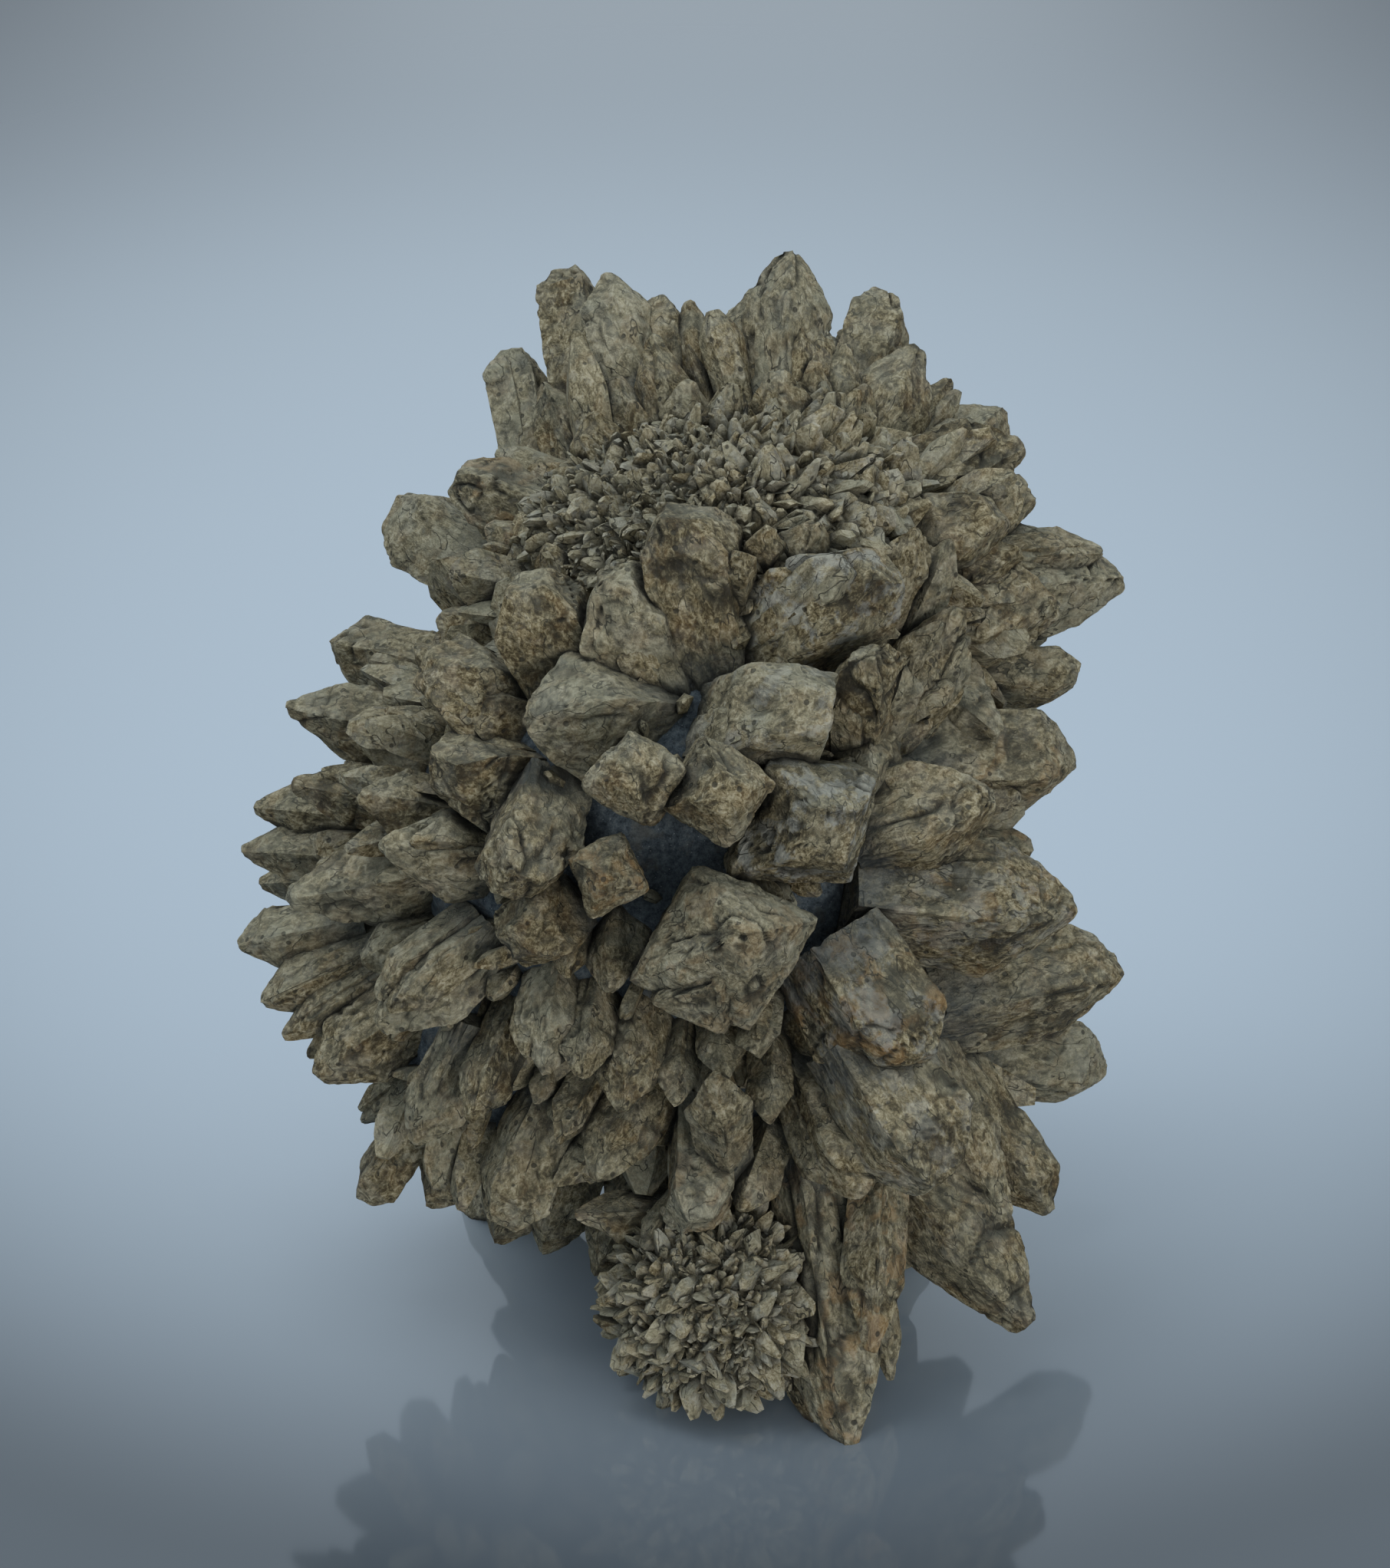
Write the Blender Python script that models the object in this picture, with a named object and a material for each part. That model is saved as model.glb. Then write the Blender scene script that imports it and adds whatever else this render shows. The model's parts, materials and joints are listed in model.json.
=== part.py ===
"""A pineapple calcite: a ball of blunt four-sided calcite crystals that radiate from a few grown-together
centres, with two patches of small crystals and dark matrix in the gaps. It is one piece of stone.

Metres, +Z up. The front looks along -Y. The origin is under the middle of the specimen, on the surface
that it stands on.
"""

import math
import random
from collections import namedtuple

import bmesh
import bpy
from mathutils import Matrix, Vector

# Driving dimensions.
SPECIMEN_WIDTH = 0.144
MID_HEIGHT = 0.0914
EYE_DISTANCE = 0.55
EYE_ABOVE = math.radians(20)

# The picture that the crystals are placed by, in its own pixels.
PICTURE_CENTRE = (906, 1022)
PIXELS_ACROSS = 1151
PIXEL = SPECIMEN_WIDTH / PIXELS_ACROSS
MM = 0.001

# The move that puts the middle of the finished specimen over the origin.
CENTRING = Vector((0.00207, 0.00104, 0.0))

TOWARD_EYE = Vector((0, -math.cos(EYE_ABOVE), math.sin(EYE_ABOVE)))
PICTURE_UP = Vector((0, math.sin(EYE_ABOVE), math.cos(EYE_ABOVE)))

# How deep a crystal starts, as a share of how far its tip stands toward the eye.
ROOT_SHARE = 0.5

# A crystal that points this much at the eye is turned from the picture's upright.
END_ON = 0.9

# A growth centre: its place in the picture, how near it is in mm, its core's radii across, deep and high
# in mm, and how far its crystals reach past that core in mm.
Lobe = namedtuple("Lobe", "x y near radii reach")

LOBES = (
    Lobe(870, 1090, 0, (41, 37, 39), 27),
    Lobe(950, 760, -4, (36, 33, 26), 22),
    Lobe(1040, 1390, -6, (20, 19, 26), 27),
    Lobe(650, 1330, -8, (17, 20, 16), 18),
    Lobe(906, 1368, -40, (21, 19, 17), 20),
    Lobe(930, 1700, 8, (14.5, 14, 15.5), 2),
)

# How far the bumps on a core stand out.
CORE_ROUGHNESS = 1.8 * MM
CORE_SEED = 7

# A crystal: its tip in the picture and how near that is in mm, the middle of its root in the picture, with
# how near that is where ROOT_SHARE doesn't fit, its width in pixels, its turn about its own axis in
# degrees, the length of its point and its depth, both as shares of its width.
Crystal = namedtuple("Crystal", "tip root width roll taper depth", defaults=(0, 0.8, 0.85))

TOP_RIM = (
    Crystal((1040, 332, -12), (1012, 560), 162, 10, 1.1),
    Crystal((744, 357, -32), (775, 600), 98, 20, 0.35),
    Crystal((798, 359, -20), (850, 560), 104, 20, 0.5),
    Crystal((858, 394, -21), (885, 560), 88, 30, 0.4),
    Crystal((902, 393, -18), (908, 560), 72),
    Crystal((958, 402, -34), (955, 560), 100),
    Crystal((1160, 390, -34), (1095, 560), 92, 30, 0.4),
    Crystal((672, 463, -34), (710, 680), 84, 30, 0.4),
    Crystal((1203, 453, -10), (1110, 620), 112, 0, 0.7),
    Crystal((1236, 492, -14), (1140, 630), 80),
    Crystal((1308, 532, -30), (1170, 650), 92, 0, 0.5),
    Crystal((1333, 580, 0), (1110, 660), 118, 20, 0.5),
    Crystal((1346, 645, -8), (1180, 700), 110, 20, 0.5),
    Crystal((1463, 758, -15), (1230, 770), 170, 0, 0.8),
    Crystal((1435, 722, -12), (1280, 730), 80),
    Crystal((1298, 665, 15), (1170, 730), 125, 35, 0.4),
    Crystal((1378, 800, 6), (1190, 790), 150, 30, 0.5),
    Crystal((1402, 885, -8), (1220, 870), 80),
    Crystal((1370, 950, -25), (1230, 900), 80),
    Crystal((1330, 720, 12), (1200, 760), 100, 30, 0.5),
)

DRUSE_RIM = (
    Crystal((955, 500, -4), (925, 640), 58),
    Crystal((1014, 482, -6), (1035, 650), 120, 0, 0.6),
    Crystal((1070, 520, -8), (1075, 650), 70),
    Crystal((826, 524, -8), (842, 620), 40),
    Crystal((770, 536, -6), (810, 660), 84, 0, 0.5),
    Crystal((1098, 512, -8), (1090, 620), 44),
    Crystal((712, 500, -22), (780, 640), 90, 0, 0.6),
    Crystal((1212, 657, 20), (1080, 720), 48),
    Crystal((1150, 612, 14), (1070, 680), 44),
    Crystal((1148, 640, 18), (1060, 700), 44),
    Crystal((850, 440, -16), (880, 580), 70),
    Crystal((1105, 450, -14), (1075, 590), 62),
)

UPPER_FRONT = (
    Crystal((688, 752, 34), (760, 900, 24), 148, 30, 0.35),
    Crystal((798, 752, 38), (860, 900, 26), 140, 30, 0.35),
    Crystal((895, 664, 38), (930, 880, 26), 142, 35, 0.45),
    Crystal((1150, 738, 40), (960, 880), 170, 25, 0.4),
    Crystal((1060, 680, 34), (1000, 800), 92, 20, 0.5),
    Crystal((1003, 690, 38), (985, 790), 58, 20, 0.6),
    Crystal((962, 722, 42), (965, 820), 56, 20, 0.5),
    Crystal((1198, 690, 30), (1125, 860), 72, 0, 0.8),
    Crystal((1240, 700, 25), (1165, 860), 72, 0, 0.8),
    Crystal((1252, 793, 24), (1140, 980), 106, 0, 1.3),
    Crystal((1128, 848, 44), (1120, 1010), 124, 20, 0.4),
    Crystal((1182, 866, 38), (1120, 1010), 80, 0, 0.5),
    Crystal((1300, 962, 14), (1180, 860), 94, 0, 0.9),
    Crystal((1130, 1040, 40), (1130, 930), 104, 0, 1.3),
)

MIDDLE_FRONT = (
    Crystal((682, 938, 46), (845, 945, 28), 190, 20, 0.5),
    Crystal((838, 1008, 66), (850, 1024), 134, 35, 0.3),
    Crystal((945, 1030, 64), (915, 1030), 146, 15, 0.5),
    Crystal((1052, 925, 54), (940, 950), 160, 35, 0.4),
    Crystal((1085, 1080, 56), (1010, 1060), 190, 35, 0.4),
    Crystal((1295, 1048, 24), (1110, 1085, 26), 172, 0, 0.7),
    Crystal((1398, 994, 0), (1150, 1000, 14), 146, 20, 0.45),
    Crystal((1395, 1192, 14), (1100, 1165, 25), 198, 10, 0.6),
    Crystal((1345, 1110, 4), (1180, 1130), 134, 0, 0.5),
    Crystal((1456, 1264, -8), (1200, 1310, 8), 150, 0, 0.6),
    Crystal((1438, 1388, -38), (1220, 1372), 128, 30, 0.45),
    Crystal((962, 1232, 66), (925, 1240), 262, 18, 0.45, 0.86),
    Crystal((790, 1136, 60), (792, 1142), 118, -21, 0.4, 1.05),
    Crystal((664, 1140, 52), (712, 1040, 38), 160, 20, 0.5),
    Crystal((660, 1228, 48), (740, 1180), 104, 0, 0.5),
    Crystal((576, 1012, 40), (690, 1018, 26), 138, 30, 0.4),
    Crystal((502, 1110, 36), (640, 1112, 26), 136, 0, 0.7),
    Crystal((560, 880, 34), (680, 922, 22), 130, 35, 0.35),
)

LEFT_RIM = (
    Crystal((522, 668, -36), (660, 760), 140, 30, 0.4),
    Crystal((594, 622, -8), (760, 700), 112, 20, 0.4),
    Crystal((572, 735, -10), (720, 800), 105, 20, 0.5),
    Crystal((640, 680, 6), (760, 780), 95, 20, 0.5),
    Crystal((572, 800, 2), (720, 870, 6), 112, 20, 0.5),
    Crystal((432, 838, -28), (720, 900, -8), 96, 0, 0.45),
    Crystal((374, 925, -5), (610, 970), 112, 0, 0.7),
    Crystal((331, 1050, -14), (600, 1085, -4), 80),
    Crystal((380, 1020, 0), (620, 1075, 0), 90),
    Crystal((313, 1108, -14), (600, 1125, -4), 80),
    Crystal((336, 1150, -26), (600, 1150, -10), 74),
    Crystal((377, 1165, 14), (620, 1140), 150, 0, 0.9),
    Crystal((468, 1040, 26), (640, 1080), 105, 20, 0.6),
    Crystal((313, 1238, -3), (480, 1200), 98, 10, 0.5),
    Crystal((341, 1306, 0), (500, 1230), 84, 0, 0.6),
    Crystal((371, 1352, 2), (510, 1260), 66),
    Crystal((402, 1378, -6), (520, 1290), 56),
    Crystal((418, 1409, 6), (590, 1280), 118, 10, 0.5),
    Crystal((490, 1335, 26), (640, 1215, 22), 128, 20, 0.6),
    Crystal((470, 1250, 14), (620, 1200), 96, 10, 0.5),
)

LOWER_LEFT = (
    Crystal((477, 1558, -12), (600, 1380, 0), 76, 30, 0.4),
    Crystal((472, 1462, -18), (590, 1370), 60),
    Crystal((560, 1568, -14), (640, 1400, 0), 80, 20, 0.5),
    Crystal((540, 1490, 12), (620, 1330, 16), 92, 10, 0.6),
    Crystal((612, 1462, 26), (700, 1260, 12), 92, 10, 0.6),
    Crystal((645, 1588, 8), (735, 1390, 12), 112, 25, 0.4),
    Crystal((700, 1440, 22), (730, 1360), 40),
    Crystal((725, 1490, 26), (790, 1380), 66),
    Crystal((705, 1394, 38), (740, 1220), 112, 0, 0.6),
    Crystal((756, 1404, 40), (790, 1230), 88, 0, 0.6),
    Crystal((806, 1444, 38), (840, 1250), 116, 0, 0.6),
    Crystal((776, 1534, 26), (880, 1370), 98, 10, 0.6),
    Crystal((722, 1542, 16), (810, 1470), 60),
    Crystal((748, 1582, 12), (860, 1580), 76, 10, 0.8),
    Crystal((838, 1630, 18), (900, 1550), 58, 20, 0.6),
    Crystal((914, 1598, 28), (915, 1440), 96, 40, 0.3),
    Crystal((932, 1400, 42), (950, 1520), 92, 0, 0.8),
    Crystal((968, 1580, 26), (1010, 1460), 70, 20, 0.5),
    Crystal((880, 1438, 38), (895, 1300), 66),
    Crystal((946, 1404, 40), (930, 1290), 66),
    Crystal((986, 1372, 44), (1005, 1250), 58, 20, 0.5),
    Crystal((1004, 1462, 36), (1005, 1330), 66),
    Crystal((706, 1632, -22), (780, 1450, -6), 90, 10, 0.6),
    Crystal((645, 1620, -22), (720, 1440, -6), 80, 10, 0.6),
    Crystal((778, 1662, -8), (880, 1470, -4), 80, 10, 0.6),
    Crystal((560, 1440, 2), (640, 1330, 6), 84, 20, 0.5),
)

LOWER_FAN = (
    Crystal((1180, 1390, 38), (1075, 1230, 34), 190, 15, 0.3),
    Crystal((1226, 1540, 28), (1110, 1370, 26), 164, 20, 0.35),
    Crystal((1316, 1600, 16), (1170, 1320), 118, 0, 0.9),
    Crystal((1368, 1582, 2), (1210, 1340), 98, 0, 0.5),
    Crystal((1338, 1734, 10), (1140, 1460), 160, 0, 0.8),
    Crystal((1105, 1888, 17), (1040, 1420), 134, 15, 0.8),
    Crystal((1130, 1762, 24), (1150, 1470), 88, 0, 1.3),
    Crystal((1163, 1800, 8), (1120, 1540, 8), 50, 0, 1.2),
    Crystal((1126, 1558, 32), (1040, 1370), 112, 20, 0.5),
    Crystal((1062, 1860, 12), (1030, 1640), 62, 20, 0.7),
)

# Crystals that the specimen stands on, behind and below: tips on the surface under it, in mm.
Foot = namedtuple("Foot", "x y width")

FEET = (Foot(-42, 28, 21), Foot(42, 10, 22), Foot(4, 50, 24))
FOOT_POINT_DEPTH = 3.0 * MM

# The hollows of the outline in the picture, which the crystals at the back stay inside.
OUTLINE = (
    (640, 600), (640, 480), (700, 480), (740, 380), (880, 400), (960, 402), (1040, 350), (1085, 405),
    (1165, 400), (1230, 500), (1310, 550), (1345, 660), (1440, 740), (1400, 820), (1360, 950),
    (1345, 1085), (1400, 1190), (1410, 1330), (1345, 1480), (1320, 1600), (1180, 1680), (1105, 1860),
    (930, 1830), (760, 1640), (600, 1590), (490, 1550), (480, 1410), (330, 1260), (350, 1100),
    (420, 1000), (450, 900), (545, 795), (530, 660),
)

# Crystals that fill the back and the underside.
BACK_SEED = 11
BACK_SPACING = 36 * MM
BACK_WIDTH = (24 * MM, 34 * MM)
BACK_TURNED_AWAY = -0.1
BACK_SHORTENINGS = 5
BACK_ABOVE_FLOOR = 5 * MM
GOLDEN_ANGLE = math.pi * (3 - math.sqrt(5))

# Steps: smaller blades that lean on a wide crystal's sides.
STEP_SEED = 5
STEP_FROM_WIDTH = 25 * MM

# A front crystal from the first width on has two slopes in its point, and one under the second ends sharp.
TWO_SLOPES_FROM_WIDTH = 16.5 * MM
SHARP_TO_WIDTH = 12.5 * MM

# Patches of small crystals: the lobe that they grow on, the middle and the spread of the patch in the
# picture, their number, and their shortest and longest length in mm.
Druse = namedtuple("Druse", "lobe x y half_width half_height count lengths")

DRUSES = (
    Druse(1, 915, 638, 215, 84, 38, (3.0, 5.4)),
    Druse(5, 928, 1712, 116, 124, 34, (2.2, 4.0)),
)
DRUSE_SEED = 3

Blade = namedtuple("Blade", "root tip side half_width half_depth taper")


def spot(x, y, near):
    """The point seen at a pixel of the picture, that many metres nearer than the middle."""
    scale = PIXEL * (1 - near / EYE_DISTANCE)
    right = Vector(((x - PICTURE_CENTRE[0]) * scale, 0, 0))
    up = PICTURE_UP * (PICTURE_CENTRE[1] - y) * scale
    return Vector((0, 0, MID_HEIGHT)) + right + up + TOWARD_EYE * near


def pixel_of(point):
    """Where a point shows in the picture."""
    offset = point - Vector((0, 0, MID_HEIGHT))
    scale = PIXEL * (1 - offset.dot(TOWARD_EYE) / EYE_DISTANCE)
    return PICTURE_CENTRE[0] + offset.x / scale, PICTURE_CENTRE[1] - offset.dot(PICTURE_UP) / scale


def in_outline(x, y):
    """Whether a pixel is inside the hollows of the outline."""
    inside = False
    for (x1, y1), (x2, y2) in zip(OUTLINE, OUTLINE[1:] + OUTLINE[:1]):
        if (y1 > y) != (y2 > y) and x < x1 + (x2 - x1) * (y - y1) / (y2 - y1):
            inside = not inside
    return inside


def lobe_centre(lobe):
    return spot(lobe.x, lobe.y, lobe.near * MM)


def across(axis, toward, roll=0.0):
    """A unit vector square to an axis and to a direction, turned about the axis by roll radians."""
    side = axis.cross(toward).normalized()
    return Matrix.Rotation(roll, 3, axis) @ side


def blade_of(crystal):
    """The blade that a row of the tables describes."""
    x, y, near = crystal.tip
    tip = spot(x, y, near * MM)
    root_x, root_y, *root_near = crystal.root
    root = spot(root_x, root_y, (root_near[0] if root_near else near * ROOT_SHARE) * MM)
    axis = (tip - root).normalized()
    roll = math.radians(crystal.roll)
    shown = max(abs(math.cos(roll)), crystal.depth * abs(math.sin(roll)))
    half_width = crystal.width * PIXEL * (1 - near * MM / EYE_DISTANCE) / 2 / shown
    end_on = axis.dot(TOWARD_EYE) > END_ON
    side = across(axis, PICTURE_UP if end_on else TOWARD_EYE, roll)
    return Blade(root, tip, side, half_width, half_width * crystal.depth, crystal.taper)


def foot_blade(foot):
    """A crystal whose point is cut level by the surface that the specimen stands on."""
    tip = Vector((foot.x * MM, foot.y * MM, -FOOT_POINT_DEPTH))
    root = lobe_centre(LOBES[4])
    axis = (tip - root).normalized()
    half_width = foot.width * MM / 2
    return Blade(root, tip, across(axis, TOWARD_EYE), half_width, half_width * 0.85, 0.7)


def any_core_holds(point):
    """Whether a point lies inside the core of a lobe, or just over it."""
    for lobe in LOBES:
        offset = point - lobe_centre(lobe)
        scaled = Vector(offset[i] / (lobe.radii[i] * MM) for i in range(3))
        if scaled.length < 1.1:
            return True
    return False


def sphere_directions(count):
    """Directions spread evenly over a sphere, on a golden spiral."""
    for i in range(count):
        height = 1 - (2 * i + 1) / count
        ring = math.sqrt(1 - height * height)
        turn = GOLDEN_ANGLE * i
        yield Vector((ring * math.cos(turn), ring * math.sin(turn), height))


def back_blades():
    """Crystals on every side that the picture doesn't show, inside its outline and above the surface."""
    rng = random.Random(BACK_SEED)
    blades = []
    for lobe in LOBES[:5]:
        centre = lobe_centre(lobe)
        reach = [(radius + lobe.reach) * MM for radius in lobe.radii]
        area = 4 * math.pi * (sum(reach) / 3) ** 2
        for direction in sphere_directions(round(area / BACK_SPACING ** 2)):
            jitter = Vector(rng.uniform(-0.12, 0.12) for _ in range(3))
            direction = (direction + jitter).normalized()
            stretch = rng.uniform(0.86, 1.02)
            width = rng.uniform(*BACK_WIDTH)
            taper = rng.uniform(0.45, 0.95)
            roll = rng.uniform(0, math.pi / 2)
            if direction.dot(TOWARD_EYE) > BACK_TURNED_AWAY:
                continue
            tip = centre + Vector(direction[i] * reach[i] for i in range(3)) * stretch
            root = centre.lerp(tip, 0.3)
            for _ in range(BACK_SHORTENINGS):
                if in_outline(*pixel_of(tip)) and tip.z > BACK_ABOVE_FLOOR:
                    break
                tip = centre.lerp(tip, 0.88)
            if any_core_holds(tip):
                continue
            axis = (tip - root).normalized()
            side = across(axis, PICTURE_UP + Vector((0.3, 0, 0)), roll)
            blades.append(Blade(root, tip, side, width / 2, width * 0.44, taper))
    return blades


def steps_of(blade, rng):
    """A smaller blade side by side with a wide one, set back from its point."""
    if blade.half_width * 2 < STEP_FROM_WIDTH:
        return []
    axis = (blade.tip - blade.root).normalized()
    normal = axis.cross(blade.side)
    turn = rng.uniform(0, math.tau)
    shift = blade.side * math.cos(turn) * blade.half_width * 0.5
    shift += normal * math.sin(turn) * blade.half_depth * 0.5
    back = rng.uniform(0.16, 0.42) * (blade.tip - blade.root).length
    size = rng.uniform(0.45, 0.62)
    lean = axis * back - shift * rng.uniform(0.0, 0.3)
    return [
        Blade(
            blade.root + shift * 0.8,
            blade.tip + shift - lean,
            across(axis, normal, rng.uniform(-0.25, 0.25)),
            blade.half_width * size,
            blade.half_depth * size,
            blade.taper,
        )
    ]


def on_core(lobe, x, y):
    """Where the line of sight through a pixel meets the near side of a lobe's core, or None."""
    centre = lobe_centre(lobe)
    start = spot(x, y, 0)
    eye = Vector((0, 0, MID_HEIGHT)) + TOWARD_EYE * EYE_DISTANCE
    sight = (eye - start).normalized()
    p = Vector((start - centre)[i] / (lobe.radii[i] * MM) for i in range(3))
    d = Vector(sight[i] / (lobe.radii[i] * MM) for i in range(3))
    root = p.dot(d) ** 2 - d.dot(d) * (p.dot(p) - 1)
    if root < 0:
        return None
    return start + sight * ((-p.dot(d) + math.sqrt(root)) / d.dot(d))


def druse_blades():
    """The small crystals of the two patches, standing out of their lobes' cores."""
    rng = random.Random(DRUSE_SEED)
    blades = []
    for druse in DRUSES:
        lobe = LOBES[druse.lobe]
        centre = lobe_centre(lobe)
        for i in range(druse.count):
            radius = math.sqrt((i + 0.5) / druse.count)
            turn = GOLDEN_ANGLE * i
            x = druse.x + druse.half_width * radius * math.cos(turn)
            y = druse.y + druse.half_height * radius * math.sin(turn)
            length = rng.uniform(*druse.lengths) * MM * (0.75 + 0.5 * radius)
            lean = Vector(rng.uniform(-0.35, 0.35) for _ in range(3))
            roll = rng.uniform(0, math.pi)
            foot = on_core(lobe, x, y)
            if foot is None:
                continue
            axis = ((foot - centre).normalized() + lean).normalized()
            half_width = length * rng.uniform(0.5, 0.7)
            side = across(axis, PICTURE_UP, roll)
            root = foot - axis * 2 * MM
            blades.append(Blade(root, foot + axis * length, side, half_width, half_width * 0.8, 1.2))
    return blades


def all_blades():
    """Every crystal of the specimen, wide ones with their steps."""
    rows = TOP_RIM + DRUSE_RIM + UPPER_FRONT + MIDDLE_FRONT + LEFT_RIM + LOWER_LEFT + LOWER_FAN
    front = [blade_of(crystal) for crystal in rows]
    feet = [foot_blade(foot) for foot in FEET]
    rng = random.Random(STEP_SEED)
    steps = [step for blade in front for step in steps_of(blade, rng)]
    wide = [blade for blade in front if blade.half_width * 2 >= TWO_SLOPES_FROM_WIDTH]
    thin = [blade for blade in front + steps if blade.half_width * 2 < SHARP_TO_WIDTH]
    middling = [blade for blade in front + steps if blade not in wide and blade not in thin]
    return wide + feet, middling + back_blades(), thin, druse_blades()


def clear_scene():
    for obj in list(bpy.data.objects):
        bpy.data.objects.remove(obj)


def new_collection(name):
    collection = bpy.data.collections.new(name)
    bpy.context.scene.collection.children.link(collection)
    return collection


def add_object(name, bm, collection):
    """An object made from a bmesh, which is freed."""
    mesh = bpy.data.meshes.new(name)
    bm.to_mesh(mesh)
    bm.free()
    obj = bpy.data.objects.new(name, mesh)
    collection.objects.link(obj)
    return obj


def blade_matrix(blade):
    """Turns the unit shape to a blade's place: x across, y deep, z along it."""
    axis = (blade.tip - blade.root).normalized()
    normal = axis.cross(blade.side)
    turn = Matrix((blade.side, normal, axis)).transposed().to_4x4()
    return Matrix.Translation(blade.root) @ turn


def grow_ring(bm, top, rise, share):
    """Extrudes the top face, lifts it and scales it about its middle."""
    top = bmesh.ops.extrude_discrete_faces(bm, faces=[top])["faces"][0]
    bmesh.ops.translate(bm, verts=top.verts, vec=(0, 0, rise))
    middle = Matrix.Translation(-top.calc_center_median())
    bmesh.ops.scale(bm, verts=top.verts, vec=(share, share, 1), space=middle)
    return top


def grow_blade(bm, blade, rings):
    """A four-sided blade: a widening shaft, then rings of (share of the point, share of the width)."""
    length = (blade.tip - blade.root).length
    shaft = max(length - blade.taper * 2 * blade.half_width, 0.3 * length) if rings else length
    point = length - shaft
    made = bmesh.ops.create_cone(
        bm,
        cap_ends=True,
        segments=4,
        radius1=0.85 if rings else 1.0,
        radius2=1.0 if rings else 0.0,
        depth=shaft,
        matrix=Matrix.Translation((0, 0, shaft / 2)),
    )
    verts = set(made["verts"])
    top = max({f for v in verts for f in v.link_faces}, key=lambda f: f.calc_center_median().z)
    along, wide = 0.0, 1.0
    for share, width in rings:
        if width == 0:
            verts |= set(bmesh.ops.poke(bm, faces=[top], offset=(share - along) * point)["verts"])
            break
        top = grow_ring(bm, top, (share - along) * point, width / wide)
        verts |= set(top.verts)
        along, wide = share, width
    size = Matrix.Diagonal((blade.half_width, blade.half_depth, 1, 1))
    bmesh.ops.transform(bm, matrix=blade_matrix(blade) @ size, verts=list(verts))


def add_core(lobe, name, collection, rng):
    """A lobe's core, a rough ellipsoid that all its crystals stand in."""
    bm = bmesh.new()
    bmesh.ops.create_icosphere(bm, subdivisions=3, radius=1.0)
    size = Matrix.Diagonal((*(radius * MM for radius in lobe.radii), 1))
    place = Matrix.Translation(lobe_centre(lobe))
    for vert in bm.verts:
        out = vert.co.normalized() * rng.uniform(0, CORE_ROUGHNESS)
        vert.co = place @ size @ vert.co + out
    return add_object(name, bm, collection)


def add_blades(blades, name, rings, collection):
    for i, blade in enumerate(blades):
        bm = bmesh.new()
        grow_blade(bm, blade, rings)
        add_object(f"{name}_{i:03d}", bm, collection)


def add_floor_cutter(collection):
    """Everything under the surface that the specimen stands on."""
    bm = bmesh.new()
    bmesh.ops.create_cube(bm, size=0.4, matrix=Matrix.Translation((0, 0, -0.2)))
    return add_object("floor_cutter", bm, collection)


def stone_material():
    material = bpy.data.materials.new("weathered_calcite")
    material.use_nodes = True
    shader = material.node_tree.nodes["Principled BSDF"]
    shader.inputs["Base Color"].default_value = (0.30, 0.26, 0.17, 1)
    shader.inputs["Roughness"].default_value = 0.88
    shader.inputs["Metallic"].default_value = 0.0
    return material


def apply_modifiers(obj):
    """Swaps an object's mesh for the one that its modifiers make."""
    graph = bpy.context.evaluated_depsgraph_get()
    obj.data = bpy.data.meshes.new_from_object(obj.evaluated_get(graph))
    obj.modifiers.clear()


def pieces_of(bm):
    """The connected pieces of a mesh, each as a list of its faces."""
    left = set(bm.faces)
    pieces = []
    while left:
        piece = [left.pop()]
        for face in piece:
            for edge in face.edges:
                for beside in edge.link_faces:
                    if beside in left:
                        left.remove(beside)
                        piece.append(beside)
        pieces.append(piece)
    return pieces


def fill_pockets(mesh):
    """Fills the sealed pockets between the crystals: only the outer surface is kept."""
    bm = bmesh.new()
    bm.from_mesh(mesh)
    pieces = sorted(pieces_of(bm), key=len)
    for piece in pieces[:-1]:
        bmesh.ops.delete(bm, geom=piece, context="FACES")
    bm.to_mesh(mesh)
    bm.free()


def build_cluster():
    """Joins the cores and every crystal in one solid, and cuts it level where it stands."""
    specimen = new_collection("pineapple_calcite")
    growth = new_collection("growth")
    cutters = new_collection("cutters")
    rng = random.Random(CORE_SEED)
    cluster = add_core(LOBES[0], "crystal_cluster", specimen, rng)
    for i, lobe in enumerate(LOBES[1:]):
        add_core(lobe, f"core_{i}", growth, rng)
    wide, middling, thin, small = all_blades()
    add_blades(wide, "wide", ((0.5, 0.74), (1.0, 0.16)), growth)
    add_blades(middling, "middling", ((1.0, 0.16),), growth)
    add_blades(thin, "thin", ((1.0, 0.0),), growth)
    add_blades(small, "small", (), growth)

    join = cluster.modifiers.new("join", "BOOLEAN")
    join.operation = "UNION"
    join.solver = "MANIFOLD"
    join.operand_type = "COLLECTION"
    join.collection = growth
    level = cluster.modifiers.new("level", "BOOLEAN")
    level.operation = "DIFFERENCE"
    level.solver = "MANIFOLD"
    level.object = add_floor_cutter(cutters)
    apply_modifiers(cluster)
    fill_pockets(cluster.data)

    for obj in list(growth.objects) + list(cutters.objects):
        bpy.data.objects.remove(obj)
    cluster.data.transform(Matrix.Translation(CENTRING))
    cluster.data.materials.clear()
    cluster.data.materials.append(stone_material())
    return cluster


clear_scene()
build_cluster()
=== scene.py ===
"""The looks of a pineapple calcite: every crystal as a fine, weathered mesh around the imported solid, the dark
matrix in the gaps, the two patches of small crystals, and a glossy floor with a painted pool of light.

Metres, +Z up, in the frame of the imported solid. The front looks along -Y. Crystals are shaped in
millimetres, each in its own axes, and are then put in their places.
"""

import json
import math
import random
from collections import namedtuple
from itertools import product

import bmesh
import bpy
import numpy as np
from mathutils import Matrix, Vector

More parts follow.
